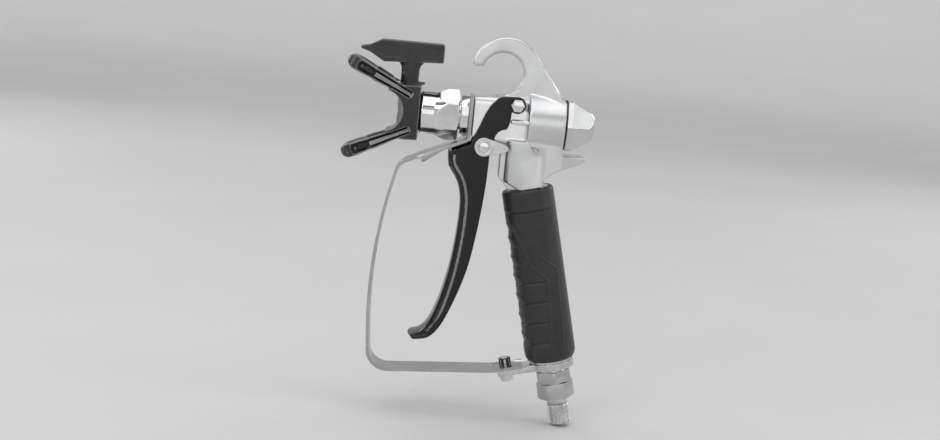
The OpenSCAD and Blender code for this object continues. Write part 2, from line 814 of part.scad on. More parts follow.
module tip_barrel() {
    end_proud = 1;
    color("gray") gun() difference() {
        union() {
            translate([tip_x, 0, -head_h - end_proud]) cylinder(h = 2 * head_h + end_proud, r = tip_r);
            translate([tip_x, 0, 0]) cylinder(h = stem_z + tip_tang_len - face_gap, r = tip_tang_r);
        }
        rod_x(tip_x - through / 2, through, nozzle_r + seat_gap);
    }
}

module tip_nozzle() {
    inset = 1.2;
    half = tip_r - inset;
    orifice_r = 0.5;
    mouth_r = 1.6;
    mouth_len = 1.2;
    color("silver") gun() difference() {
        rod_x(tip_x - half, 2 * half, nozzle_r);
        rod_x(tip_x - half - overrun, 2 * half + 2 * overrun, orifice_r);
        rod_x(tip_x - half - overrun, mouth_len + overrun, mouth_r);
    }
}

// Side outline of the T handle's bar, blunt behind and drawn out to a nose in front
module bar_outline() {
    polygon([[bar_back, bar_low + 1.9], [bar_back, bar_high - 1], [bar_back - 1, bar_high],
        [bar_front + 12.2, bar_high], [bar_front + 5.4, bar_high - 3.8], [bar_front, bar_high - 4.9],
        [bar_front, bar_high - 6.4], [bar_front + 5.4, bar_high - 8], [bar_front + 14, bar_low]]);
}

module tip_handle() {
    stem_in = 4;
    color("dimgray") gun() difference() {
        union() {
            side(tip_handle_t) bar_outline();
            translate([tip_x, 0, stem_z]) cylinder(h = bar_low + stem_in - stem_z, r = tip_stem_r);
            translate([tip_x, -tab_w / 2, stem_z]) cube([tab_len, tab_w, tab_t]);
        }
        translate([tip_x, 0, stem_z - overrun])
            cylinder(h = tip_tang_len + overrun, r = tip_tang_r + seat_gap);
    }
}

// ---------- handle ----------

module handle_tube() {
    color("lightgray") gun() on_handle(tube_bottom) difference() {
        union() {
            cylinder(h = tube_bottom - shoulder_s, r = tube_r);
            cylinder(h = tube_bottom - tube_top, r = tube_neck_r);
        }
        translate([0, 0, -overrun]) cylinder(h = tube_bottom - bore_top_s + overrun, r = bore_r);
        cylinder(h = tube_bottom, r = fluid_r);
    }
}

module filter_cap() {
    color("lightgray") gun() handle_ring(bore_top_s + face_gap, filter_cap_t, bore_r - seat_gap, passage_r);
}

module filter_screen() {
    floor_t = 3;
    screen_t = 1;
    color("gold") gun() on_handle(filter_end_s) difference() {
        cylinder(h = filter_len, r = filter_r);
        translate([0, 0, floor_t]) cylinder(h = filter_len, r = filter_r - screen_t);
        translate([0, 0, -overrun]) cylinder(h = floor_t + 2 * overrun, r = passage_r);
    }
}

module filter_spring() {
    start = filter_end_s + face_gap;
    outside = filter_r - 0.4;
    wire = 1.2;
    color("gray") gun() handle_ring(start, filter_spring_len, outside, outside - wire);
}

// Grip in section: X is the distance from the handle's axis, Y runs up the handle
module grip_outline() {
    height = grip_bottom - shoulder_s;
    groove = 0.5;
    seam_s = 53.2;
    difference() {
        translate([tube_r + seat_gap, 0]) square([grip_r - tube_r - seat_gap, height]);
        translate([grip_r - grip_edge_r, 0]) corner_cut(grip_edge_r);
        translate([grip_r - grip_edge_r, height]) mirror([0, 1]) corner_cut(grip_edge_r);
        translate([grip_r - groove, grip_bottom - seam_s]) square([2 * groove, 2 * groove]);
    }
}

// What a quarter round of radius r leaves of the corner below and outside it
module corner_cut(r) {
    difference() {
        translate([0, -overrun]) square([r + overrun, r + overrun]);
        translate([0, r]) circle(r = r);
    }
}

module grip_sleeve() {
    color("dimgray") gun() on_handle(grip_bottom) rotate_extrude() grip_outline();
}

module end_fitting() {
    bottom_s = end_hex_s + end_hex_len;
    screw_r = bore_r - seat_gap;
    corner_step = 0.3;
    color("silver") gun() on_handle(bottom_s) difference() {
        union() {
            cylinder(h = bottom_s - end_screw_s, r = screw_r);
            cylinder(h = bottom_s - ring_bottom_s, r = end_collar_r);
            intersection() {
                rotate([0, 0, 30]) cylinder(h = end_hex_len, r = inlet_corner_r, $fn = 6);
                cylinder(h = end_hex_len, r = inlet_corner_r - corner_step);
            }
        }
        cylinder(h = through, r = passage_r);
        translate([0, 0, -overrun])
            cylinder(h = bottom_s - plug_s + face_gap + overrun, r = swivel_plug_r + run_gap);
    }
}

module end_fitting_seal() {
    seal_t = 1.6;
    color("dimgray") gun() handle_ring(end_screw_s - seal_t - slack, seal_t, bore_r - seat_gap, filter_r);
}

// ---------- swivel inlet ----------

module swivel_stem() {
    neck_len = 3;
    mouth_len = 3;
    mouth_wall = 1;
    color("silver") gun() on_handle(stem_end_s) difference() {
        union() {
            cylinder(h = hose_len, r = hose_r);
            cylinder(h = hose_len + hose_neck_len, r = hose_neck_r);
            cylinder(h = stem_end_s - plug_s, r = stem_r);
            translate([0, 0, stem_end_s - swivel_s + face_gap + neck_len])
                cylinder(h = plug_len - neck_len, r = swivel_plug_r);
        }
        translate([0, 0, -overrun]) cylinder(h = through, r = passage_r);
        translate([0, 0, -overrun])
            cylinder(h = mouth_len + overrun, r1 = hose_neck_r - mouth_wall, r2 = passage_r);
        translate([0, 0, stem_end_s - seal_groove_s - seal_groove_len]) seal_groove();
    }
}

// Groove for the swivel's seal
module seal_groove() {
    difference() {
        cylinder(h = seal_groove_len, r = swivel_plug_r + overrun);
        translate([0, 0, -overrun]) cylinder(h = seal_groove_len + 2 * overrun, r = seal_groove_r);
    }
}

module swivel_seal() {
    color("black") gun() handle_ring(seal_groove_s + slack, seal_groove_len - 2 * slack,
        swivel_plug_r, seal_groove_r + seat_gap);
}

// Hexagon with flats towards the sides, its corners bevelled and its lower end chamfered
module swivel_hex() {
    bevel = 0.45;
    color("silver") gun() on_handle(hose_s) difference() {
        intersection() {
            cylinder(h = swivel_hex_len, r = inlet_corner_r, $fn = 6);
            rotate([0, 0, 30]) cylinder(h = swivel_hex_len, r = (inlet_corner_r - bevel) / cos(30), $fn = 6);
            cylinder(h = swivel_hex_len, r1 = inlet_corner_r - edge_cut,
                r2 = inlet_corner_r - edge_cut + swivel_hex_len);
        }
        translate([0, 0, -overrun]) cylinder(h = swivel_hex_len + 2 * overrun, r = stem_r + seat_gap);
    }
}

module swivel_ring() {
    ring_t = 2;
    ring_lift = 0.4;
    ring_step = 0.2;
    color("dimgray") gun() handle_ring(swivel_s - face_gap - ring_lift - ring_t, ring_t,
        swivel_plug_r - ring_step, stem_r + seat_gap);
}

// ---------- trigger guard ----------

// The guard's middle line, split where the wide upper plate gives way to the narrow strip
guard_line = rounded(guard_path, guard_bends);
split_x = -57;
split = [split_x, on_plate(split_x)];
before = split + [cos(guard_slope), sin(guard_slope)];
function is_plate(p) = p[0] > split_x && p[1] > -40;
plate_line = concat([for (p = guard_line) if (is_plate(p)) p], [split]);
strip_line = concat([before], [for (p = guard_line) if (!is_plate(p)) p]);

// Side outline of the turned-down lip between two places on the upper plate
module lip_outline(from_x, to_x) {
    low_z = on_plate(to_x) - guard_lip;
    polygon([[from_x, on_plate(from_x)], [to_x, on_plate(to_x)], [to_x + 0.6, low_z], [to_x + 2, low_z],
        [from_x, on_plate(from_x) - guard_t / 2]]);
}

module trigger_guard() {
    lip_t = 1.2;
    lip_start_x = plate_x - guard_plate_w / 2;
    color("silver") gun() difference() {
        union() {
            side(guard_plate_w) polygon(band(plate_line, guard_t));
            side(guard_w) polygon(band(strip_line, guard_t));
            both_sides() side(lip_t, (guard_plate_w - lip_t) / 2) lip_outline(lip_start_x, split_x + 2);
        }
        rod_x(plate_x - overrun, guard_t + 2 * overrun, outlet_screw_r + seat_gap);
        on_handle(tube_bottom + bracket_t) translate([-bracket_reach, 0, 0])
            cylinder(h = 2 * bracket_t, r = screw_r + seat_gap);
    }
}

module guard_bracket() {
    tongue_out = bracket_reach + 5.5;
    root = 1.2;
    color("silver") gun() on_handle(ring_bottom_s) difference() {
        union() {
            cylinder(h = bracket_t, r = bracket_r);
            translate([-bracket_r - root, -bracket_w / 2, 0]) cube([bracket_r, bracket_w, bracket_t]);
            translate([-tongue_out, -bracket_w / 2, 0])
                cube([tongue_out - bracket_r, bracket_w, bracket_t - bracket_step]);
        }
        translate([0, 0, -overrun]) cylinder(h = 2 * bracket_t, r = bore_r);
        translate([-bracket_reach, 0, -overrun]) cylinder(h = 2 * bracket_t, r = screw_r + seat_gap);
    }
}

module guard_screw() {
    color("silver") gun() on_handle(ring_bottom_s) translate([-bracket_reach, 0, 0]) {
        translate([0, 0, -screw_head_h])
            cylinder(h = screw_head_h, r = screw_head_flats / 2 / cos(30), $fn = 6);
        cylinder(h = screw_shank, r = screw_r);
    }
}

module guard_nut() {
    rib_r = 0.9;
    rib_out = 2.6;
    core_r = 3;
    color("black") gun() on_handle(strip_top_s) translate([-bracket_reach, 0, 0]) difference() {
        union() {
            cylinder(h = guard_nut_h, r = core_r);
            for (a = [0 : 60 : 300]) rotate([0, 0, a]) translate([rib_out, 0, 0])
                cylinder(h = guard_nut_h, r = rib_r);
        }
        translate([0, 0, -overrun]) cylinder(h = guard_nut_h + 2 * overrun, r = screw_r + seat_gap);
    }
}

// ---------- trigger ----------

// Side outline of the trigger's arms, from the eye down into the finger piece
module arm_outline() {
    pivot = [pivot_x, pivot_z];
    translate(pivot) circle(r = eye_r);
    polygon([pivot + [0, eye_r], pivot + [-8.2, eye_r - 0.5], pivot + [-11.8, 3.2], pivot + [-15.2, -0.7],
        pivot + [-18.4, -6.5], [-22.4, -4.2], [-25.2, -10.8], [-26.4, -15.4], [-30.4, -17.4], [-38.6, -20.6],
        [-39.2, -23], [-34, -34], [-15.3, -34], [-14.9, -19.5], [-12.6, -9.1], [-10.9, -6.6], [-8.8, -5.3],
        [-6.5, -4.8], [-5.4, -2.9], pivot + [-arm_heel, -9.9], pivot + [-3.2, -6.5],
        pivot + [-3.2, 0], pivot]);
}

// Cross section of the finger piece, [y, depth from the front]: its rounded outside from left to right, then
// its inside from right to left, with as many points
function channel(depth, n = 4) =
    let (h = trigger_out, r = min(trigger_corner_r, 0.8 * depth),
        w = trigger_wall, skin = min(w, 0.5 * depth),
        ri = min(max(r - w, 0.3), 0.8 * (depth - skin)), hi = h - w)
    concat([[-h, depth]],
        [for (k = [0 : n]) let (a = 90 * k / n) [-h + r - r * cos(a), r - r * sin(a)]],
        [for (k = [0 : n]) let (a = 90 * k / n) [h - r + r * sin(a), r - r * cos(a)]],
        [[h, depth], [hi, depth]],
        [for (k = [0 : n]) let (a = 90 * k / n) [hi - ri + ri * cos(a), skin + ri - ri * sin(a)]],
        [for (k = [0 : n]) let (a = 90 * k / n) [-hi + ri - ri * sin(a), skin + ri - ri * cos(a)]],
        [[-hi, depth]]);

// Channel swept between the front and back edges
module finger_piece() {
    steps = 3;
    least_depth = 2.4;
    front = curve(trigger_front, steps);
    back = curve(trigger_back, steps);
    rings = [for (i = [0 : len(front) - 1])
        let (f = front[i], d = norm(back[i] - f), u = (back[i] - f) / d)
        [for (q = channel(max(d, least_depth))) [f[0] + u[0] * q[1], q[0], f[1] + u[1] * q[1]]]];
    m = len(rings[0]);
    end = (len(rings) - 1) * m;
    cap = [for (j = [0 : m / 2 - 2]) [j, j + 1, m - 2 - j, m - 1 - j]];
    polyhedron(points = [for (ring = rings) for (p = ring) p],
        faces = concat(cap, [for (q = cap) [end + q[3], end + q[2], end + q[1], end + q[0]]],
            [for (i = [0 : m : end - m]) for (j = [0 : m - 1]) let (k = (j + 1) % m)
                each [[i + j, i + m + j, i + m + k], [i + j, i + m + k, i + k]]]));
}

module trigger() {
    color("black") gun() difference() {
        union() {
            both_sides() side(trigger_wall, trigger_in + trigger_wall / 2) arm_outline();
            finger_piece();
        }
        rod_y(pivot_x, pivot_z, through, bush_r + seat_gap);
        rod_y(lock_x, -lock_drop, through, lock_shaft_r + run_gap);
    }
}

module trigger_bushes() {
    color("goldenrod") gun() both_sides() difference() {
        rod_y(pivot_x, pivot_z, trigger_wall, bush_r, trigger_in + trigger_wall / 2);
        rod_y(pivot_x, pivot_z, through, pivot_r + run_gap);
    }
}

module pivot_washers() {
    washer_t = trigger_gap - slack;
    color("gainsboro") gun() both_sides() difference() {
        rod_y(pivot_x, pivot_z, washer_t, bush_r, (barrel_w + washer_t) / 2);
        rod_y(pivot_x, pivot_z, through, pivot_r + run_gap);
    }
}

// Hexagonal head or nut of the pivot bolt, its inner face at y
module pivot_hex(y) {
    translate([pivot_x, y + bolt_head_h / 2, pivot_z]) rotate([90, 0, 0])
        cylinder(h = bolt_head_h, r = bolt_head_flats / 2 / cos(30), center = true, $fn = 6);
}

module pivot_bolt() {
    outside = trigger_out + face_gap;
    color("gainsboro") gun() {
        mirror([0, 1, 0]) pivot_hex(outside);
        rod_y(pivot_x, pivot_z, 2 * outside + bolt_head_h, pivot_r, bolt_head_h / 2);
    }
}

module pivot_nut() {
    color("gainsboro") gun() difference() {
        pivot_hex(trigger_out + face_gap);
        rod_y(pivot_x, pivot_z, through, pivot_r + seat_gap);
    }
}

// ---------- trigger lock ----------

module lock_lever() {
    end_r = 1.9;
    root_step = 0.3;
    color("silver") gun() translate([lock_x, 0, -lock_drop]) difference() {
        union() {
            translate([0, -lock_in - lock_t / 2, 0]) rotate([90, 0, 0])
                cylinder(h = lock_t, r = lock_boss_r, center = true);
            side(lock_arm_t, -lock_arm_in - lock_arm_t / 2)
                polygon([[0, lock_boss_r], [2, lock_boss_r - root_step], [lock_len - 1, end_r],
                    [lock_len, end_r - 1], [lock_len, 1 - end_r], [lock_len - 1, -end_r],
                    [2, root_step - lock_boss_r], [0, -lock_boss_r]]);
        }
        rod_y(0, 0, through, lock_shaft_r + seat_gap);
    }
}

module lock_shaft() {
    outside = lock_in + lock_t - lock_plate_t;
    cam_w = 12;
    cam_half = 1.6;
    cam_lift = 0.6;
    cam_reach = lock_shaft_r + cam_lift;
    color("gray") gun() difference() {
        union() {
            rod_y(lock_x, -lock_drop, outside + lock_in + lock_plate_t, lock_shaft_r,
                (lock_in + lock_plate_t - outside) / 2);
            translate([lock_x, 0, -lock_drop]) side(cam_w)
                polygon([[-cam_half, 0], [cam_half, 0], [0.75 * cam_half, -cam_reach],
                    [-0.75 * cam_half, -cam_reach]]);
        }
        translate([lock_x, -outside, -lock_drop]) rotate([90, 0, 0])
            cylinder(h = 2 * (lock_screw_len + overrun), r = lock_screw_r + seat_gap, center = true);
    }
}

module lock_screw() {
    outside = lock_in + lock_t;
    color("gainsboro") gun() {
        rod_y(lock_x, -lock_drop, lock_plate_t, lock_shaft_r, lock_plate_t / 2 - outside);
        rod_y(lock_x, -lock_drop, lock_screw_len, lock_screw_r, lock_screw_len / 2 - outside);
    }
}

module lock_ring() {
    ring_w = 1.6;
    color("gray") gun() difference() {
        rod_y(lock_x, -lock_drop, lock_plate_t, lock_shaft_r + ring_w, lock_in + lock_plate_t / 2);
        rod_y(lock_x, -lock_drop, through, lock_shaft_r + seat_gap);
    }
}

gun_body();
rear_cap();
rear_cap_seal();
needle_packing();
packing_nut();
outlet_fitting();
outlet_gasket();
valve_seat();
handle_tube();
filter_screen();
filter_cap();
filter_spring();
grip_sleeve();
end_fitting();
end_fitting_seal();
trigger_guard();
guard_bracket();
guard_screw();
guard_nut();
pivot_bolt();
pivot_nut();
pivot_washers();
trigger();
trigger_bushes();
lock_lever();
lock_shaft();
lock_screw();
lock_ring();
needle();
needle_ball();
needle_yoke();
push_pins();
needle_spring();
retaining_nut();
tip_guard();
saddle_seal();
tip_seal();
guard_collar_ring();
tip_barrel();
tip_nozzle();
tip_handle();
swivel_stem();
swivel_hex();
swivel_seal();
swivel_ring();
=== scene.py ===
"""Airless paint sprayer: the looks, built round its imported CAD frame."""

import math

import bmesh
import bpy
from mathutils import Matrix, Vector
from mathutils.kdtree import KDTree


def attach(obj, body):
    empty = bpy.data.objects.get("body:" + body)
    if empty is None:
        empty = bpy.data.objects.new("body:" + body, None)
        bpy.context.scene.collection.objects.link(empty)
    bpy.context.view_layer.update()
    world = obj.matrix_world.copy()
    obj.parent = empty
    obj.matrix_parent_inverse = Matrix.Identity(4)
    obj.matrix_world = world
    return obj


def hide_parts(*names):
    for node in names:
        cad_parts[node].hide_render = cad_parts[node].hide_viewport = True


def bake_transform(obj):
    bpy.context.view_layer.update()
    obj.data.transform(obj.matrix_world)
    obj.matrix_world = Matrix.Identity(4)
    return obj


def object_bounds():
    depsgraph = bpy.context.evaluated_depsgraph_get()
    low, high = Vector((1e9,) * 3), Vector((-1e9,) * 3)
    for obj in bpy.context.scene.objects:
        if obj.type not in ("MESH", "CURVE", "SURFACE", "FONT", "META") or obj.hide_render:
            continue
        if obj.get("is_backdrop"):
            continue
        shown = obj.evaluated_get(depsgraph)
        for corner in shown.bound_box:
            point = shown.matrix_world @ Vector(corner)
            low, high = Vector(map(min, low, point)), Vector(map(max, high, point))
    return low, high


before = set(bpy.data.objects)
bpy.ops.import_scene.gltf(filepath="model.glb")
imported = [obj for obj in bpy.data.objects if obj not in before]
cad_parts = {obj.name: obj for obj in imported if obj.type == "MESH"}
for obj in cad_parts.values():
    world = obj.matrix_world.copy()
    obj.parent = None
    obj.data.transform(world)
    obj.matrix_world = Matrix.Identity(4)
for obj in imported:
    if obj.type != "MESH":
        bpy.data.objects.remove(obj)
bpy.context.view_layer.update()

# ---------------------------------------------------------------- frames
# Shapes are written in millimetres in the gun's own frame: X back along the bore, Z up, origin on the bore
# axis. SIDEWAYS turns a shape written in X and Z into one in X and Y.
MM = Matrix.Scale(0.001, 4)
GUN = Matrix.Translation((11.3, 0, -27.1))
TO_METRES = MM @ GUN
TO_GUN = TO_METRES.inverted()
HANDLE_X, RAKE = 0.3, math.radians(13.6)
SIDEWAYS = Matrix.Rotation(math.radians(90), 4, "X")
SIDES = (1, -1)


def handle(s):
    """Frame on the handle's axis, s below the bore axis, with Z up the handle."""
    return (Matrix.Translation((HANDLE_X, 0, 0)) @ Matrix.Rotation(-RAKE, 4, "Y")
            @ Matrix.Translation((0, 0, -s)))


def turn(axis, degrees):
    return Matrix.Rotation(math.radians(degrees), 4, axis)


def smoothstep(t):
    """Smooth rise from 0 at t = 0 to 1 at t = 1."""
    t = max(0.0, min(1.0, t))
    return t * t * (3 - 2 * t)


# ---------------------------------------------------------------- camera
# Azimuth, elevation and roll in degrees; the target's place and the distance from it in millimetres
CAMERA_ANGLES = (-1.5, 9, 5.5)
CAMERA_TARGET, CAMERA_DISTANCE = (-11.1, 0, -89.1), 900
SENSOR_WIDTH, FOCAL_PIXELS, IMAGE_WIDTH = 36, 1500, 940
CLIP_START, CLIP_END = 0.01, 60


def camera():
    """The photograph's view: nearly side on, a little from above, turned about its own axis."""
    azimuth, elevation, roll = (math.radians(a) for a in CAMERA_ANGLES)
    back = Vector((math.sin(azimuth) * math.cos(elevation),
                   -math.cos(azimuth) * math.cos(elevation), math.sin(elevation)))
    right = (-back).cross(Vector((0, 0, 1))).normalized()
    up = right.cross(-back)
    x = right * math.cos(roll) + up * math.sin(roll)
    y = up * math.cos(roll) - right * math.sin(roll)
    data = bpy.data.cameras.new("camera")
    data.lens = SENSOR_WIDTH * FOCAL_PIXELS / IMAGE_WIDTH
    data.sensor_width = SENSOR_WIDTH
    data.clip_start, data.clip_end = CLIP_START, CLIP_END
    cam = bpy.data.objects.new("camera", data)
    bpy.context.scene.collection.objects.link(cam)
    place = Matrix((x, y, back)).transposed().to_4x4()
    place.translation = (Vector(CAMERA_TARGET) + back * CAMERA_DISTANCE) * 0.001
    cam.matrix_world = place
    bpy.context.scene.camera = cam


camera()

# ---------------------------------------------------------------- materials
# Places of the colour sockets on Blender's Mix node
MIX_FACTOR, MIX_A, MIX_B, MIX_RESULT = 0, 6, 7, 2


class Nodes:
    """A small helper that adds and links shader nodes."""

    def __init__(self, name):
        self.mat = bpy.data.materials.new(name)
        self.mat.use_nodes = True
        self.tree = self.mat.node_tree
        self.bsdf = self.tree.nodes["Principled BSDF"]
        coords = self.tree.nodes.new("ShaderNodeTexCoord")
        self.coords = coords.outputs["Object"]

    def add(self, kind, **settings):
        node = self.tree.nodes.new(kind)
        for key, value in settings.items():
            setattr(node, key, value)
        return node

    def link(self, a, b):
        self.tree.links.new(a, b)

    def noise(self, scale, stretch=(1, 1, 1), detail=3.0, rough=0.55):
        mapping = self.add("ShaderNodeMapping")
        mapping.inputs["Scale"].default_value = [scale * s for s in stretch]
        self.link(self.coords, mapping.inputs["Vector"])
        node = self.add("ShaderNodeTexNoise")
        node.inputs["Scale"].default_value = 1
        node.inputs["Detail"].default_value = detail
        node.inputs["Roughness"].default_value = rough
        self.link(mapping.outputs["Vector"], node.inputs["Vector"])
        return node.outputs["Fac"]

    def ramp(self, factor, stops):
        """Colour between two stops, each a place and a colour."""
        node = self.add("ShaderNodeValToRGB")
        for element, (at, color) in zip(node.color_ramp.elements, stops):
            element.position = at
            element.color = (*color, 1)
        self.link(factor, node.inputs["Fac"])
        return node.outputs["Color"]

    def remap(self, value, low, high, from_low=0.3, from_high=0.7):
        node = self.add("ShaderNodeMapRange")
        node.inputs["From Min"].default_value = from_low
        node.inputs["From Max"].default_value = from_high
        node.inputs["To Min"].default_value = low
        node.inputs["To Max"].default_value = high
        self.link(value, node.inputs["Value"])
        return node.outputs["Result"]

    def bump(self, height, strength, distance):
        node = self.add("ShaderNodeBump")
        node.inputs["Strength"].default_value = strength
        node.inputs["Distance"].default_value = distance
        self.link(height, node.inputs["Height"])
        return node.outputs["Normal"]

    def mix(self, factor, color, other):
        """The linked colour, giving way to the plain colour other as factor rises."""
        node = self.add("ShaderNodeMix", data_type="RGBA")
        self.link(factor, node.inputs[MIX_FACTOR])
        self.link(color, node.inputs[MIX_A])
        node.inputs[MIX_B].default_value = (*other, 1)
        return node.outputs[MIX_RESULT]


def grey(level):
    return (level, level, level)


def finish_material(name, dark, light, metallic, rough, grain, grain_bump, stretch=(1, 1, 1),
                    cloud=60, wear=None, specular=0.5, sheen=0.0, distance=0.00002):
    """A finish with mottled colour, uneven roughness and a fine grain.

    rough is a range, and cloud and grain are scales of noise. The pale edges' argument is the range of
    Pointiness over which the colour turns into the edges' colour, and that colour; these paler edges are a
    painted highlight, and on some finishes also wear. distance is the bump's height in metres.
    """
    n = Nodes(name)
    b = n.bsdf.inputs
    b["Metallic"].default_value = metallic
    b["Specular IOR Level"].default_value = specular
    b["Sheen Weight"].default_value = sheen
    b["Sheen Roughness"].default_value = 0.5
    color = n.ramp(n.noise(cloud, detail=4), [(0.3, dark), (0.7, light)])
    fine = n.noise(grain, stretch, detail=4, rough=0.65)
    roughness = n.remap(fine, *rough)
    # Pale edges by Pointiness: a painted highlight, and on some finishes also wear
    if wear is not None:
        wear_from, wear_to, edge_color = wear
        edge = n.add("ShaderNodeNewGeometry")
        pale_edge_mask = n.remap(edge.outputs["Pointiness"], 0, 1, wear_from, wear_to)
        color = n.mix(pale_edge_mask, color, edge_color)
    n.link(color, b["Base Color"])
    n.link(roughness, b["Roughness"])
    n.link(n.bump(fine, grain_bump, distance), b["Normal"])
    return n.mat


def metal(name, dark, light, rough, grain, grain_bump, **more):
    return finish_material(name, dark, light, 1, rough, grain, grain_bump, **more)


def nonmetal(name, dark, light, rough, grain, grain_bump, **more):
    return finish_material(name, dark, light, 0, rough, grain, grain_bump, **more)


# Paler edges by Pointiness: partly wear, partly a painted highlight.
cast = metal("cast_aluminium", (0.60, 0.605, 0.61), (0.70, 0.705, 0.71), (0.27, 0.40), 2600, 0.35,
             cloud=90, wear=(0.52, 0.60, grey(0.88)), distance=0.00003)
# Machined finish for the barrel's flats; its paler colour is also painted light on them.
machined_and_lit = metal("machined_and_lit_aluminium", grey(0.80), grey(0.88), (0.22, 0.32), 3000, 0.15,
                 stretch=(0.06, 1, 1), cloud=90)
nickel = metal("satin_nickel", (0.60, 0.605, 0.61), (0.68, 0.685, 0.69), (0.26, 0.36), 1800, 0.12,
               cloud=120)
hex_steel = metal("hexagon_steel", (0.46, 0.46, 0.465), (0.54, 0.54, 0.545), (0.18, 0.28), 1800, 0.10,
                  cloud=120)
chrome = metal("polished_chrome", (0.70, 0.70, 0.705), (0.78, 0.78, 0.785), (0.05, 0.12), 900, 0.04,
               cloud=150)
zinc = metal("zinc_plate", grey(0.50), (0.62, 0.62, 0.61), (0.20, 0.34), 1500, 0.18, cloud=200)
strip_steel = metal("brushed_stainless", grey(0.40), grey(0.48), (0.24, 0.36), 3500, 0.12,
                    stretch=(0.06, 1, 0.06), cloud=70)
ring_steel = metal("satin_stainless", grey(0.54), grey(0.64), (0.24, 0.34), 1600, 0.15, cloud=120)
carbide = metal("carbide", (0.10, 0.10, 0.105), (0.16, 0.16, 0.165), (0.12, 0.2), 2500, 0.1)
tip_steel = metal("tip_steel", (0.20, 0.20, 0.205), (0.28, 0.28, 0.285), (0.22, 0.34), 2200, 0.2,
                  stretch=(1, 1, 0.1))
brass = metal("brass", (0.55, 0.37, 0.13), (0.68, 0.50, 0.22), (0.2, 0.34), 1500, 0.2, cloud=120)
screen = metal("filter_mesh", (0.36, 0.33, 0.24), (0.52, 0.48, 0.36), (0.3, 0.5), 5000, 0.6)
spring_steel = metal("spring_steel", (0.36, 0.36, 0.365), (0.48, 0.48, 0.485), (0.2, 0.32), 1800, 0.2)
gloss_black = nonmetal("gloss_black", (0.0030, 0.0030, 0.0032), (0.006, 0.006, 0.0063), (0.17, 0.25),
                       700, 0.05, specular=0.4, distance=0.00004)
# A painted highlight: the paler line near the trigger's front corners.
painted_corner_highlight = finish_material("painted_corner_highlight", grey(0.20), grey(0.26), 0.6, (0.14, 0.20), 700, 0.05,
                               distance=0.00004)
# Pale edges by Pointiness: a painted highlight on the rims and edges.
plastic = nonmetal("black_plastic", (0.010, 0.010, 0.0105), (0.019, 0.019, 0.020), (0.20, 0.32), 2400,
                   0.25, cloud=150, wear=(0.51, 0.55, grey(0.22)), distance=0.00003)
# Paler plastic for the wing ribs: a painted highlight.
painted_highlight_rib_plastic = nonmetal("painted_highlight_rib_plastic", grey(0.17), grey(0.23), (0.24, 0.36), 2400, 0.2, cloud=150)
# Pale edges by Pointiness: a painted highlight.
soft_plastic = nonmetal("handle_plastic", (0.017, 0.017, 0.018), (0.029, 0.029, 0.030), (0.34, 0.48),
                        2600, 0.35, cloud=120, wear=(0.51, 0.55, grey(0.20)), distance=0.00004)
nut_black = nonmetal("nut_black", grey(0.006), grey(0.012), (0.3, 0.45), 2000, 0.25)
# Paler edges by Pointiness: partly wear, partly a painted highlight.
rubber = nonmetal("grip_rubber", (0.0125, 0.0125, 0.013), (0.022, 0.022, 0.023), (0.36, 0.52), 1900, 0.5,
                  cloud=110, wear=(0.52, 0.60, (0.05, 0.05, 0.052)), sheen=0.05, distance=0.00005)
seal = nonmetal("seal_rubber", grey(0.010), grey(0.02), (0.45, 0.6), 1800, 0.4)
packing = nonmetal("packing_white", (0.70, 0.69, 0.66), (0.80, 0.79, 0.76), (0.3, 0.42), 1500, 0.2)

# ---------------------------------------------------------------- mesh tools
# In millimetres: points closer than this are made one, in a CAD mesh and in a turned one, and edges
# shorter than the last are taken out
CAD_WELD, LATHE_WELD, LEAST_EDGE = 0.002, 1e-4, 1e-5
SMOOTHING = 0.5
# Faces turned less than this from each other are made one; edges sharper than the other are bevelled
FLAT_ANGLE, BEVEL_ANGLE = 0.5, 24


def cad(node):
    """A welded copy of a CAD node's mesh, in the gun frame in millimetres."""
    bm = bmesh.new()
    bm.from_mesh(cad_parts[node].data)
    bm.transform(TO_GUN)
    bmesh.ops.remove_doubles(bm, verts=bm.verts, dist=CAD_WELD)
    return bm


def add(bm, other):
    """Adds another bmesh's geometry to bm."""
    mesh = bpy.data.meshes.new("part")
    other.to_mesh(mesh)
    other.free()
    bm.from_mesh(mesh)
    bpy.data.meshes.remove(mesh)


def prism(points, low, high, place=Matrix()):
    """Closed prism of a polygon in X and Z between two Y planes."""
    bm = bmesh.new()
    near = [bm.verts.new((x, low, z)) for x, z in points]
    far = [bm.verts.new((x, high, z)) for x, z in points]
    bm.faces.new(near)
    bm.faces.new(far[::-1])
    for i in range(len(points)):
        j = (i + 1) % len(points)
        bm.faces.new((near[j], near[i], far[i], far[j]))
    bmesh.ops.recalc_face_normals(bm, faces=bm.faces)
    bm.transform(place)
    return bm


def bridge(bm, a, b):
    """Faces between two rings that have as many points."""
    for j in range(len(a)):
        k = (j + 1) % len(a)
        bm.faces.new((a[j], a[k], b[k], b[j]))


def loft(rings):
    """Closed solid through rings of points that all have as many points."""
    bm = bmesh.new()
    rows = [[bm.verts.new(p) for p in ring] for ring in rings]
    for a, b in zip(rows, rows[1:]):
        bridge(bm, a, b)
    bm.faces.new(rows[0][::-1])
    bm.faces.new(rows[-1])
    bmesh.ops.recalc_face_normals(bm, faces=bm.faces)
    return bm


def turned(sections, place):
    """Closed skin over sections that follow each other all round an axis."""
    bm = bmesh.new()
    rows = [[bm.verts.new(p) for p in section] for section in sections]
    for i in range(len(rows)):
        bridge(bm, rows[i], rows[(i + 1) % len(rows)])
    bm.transform(place)
    return bm


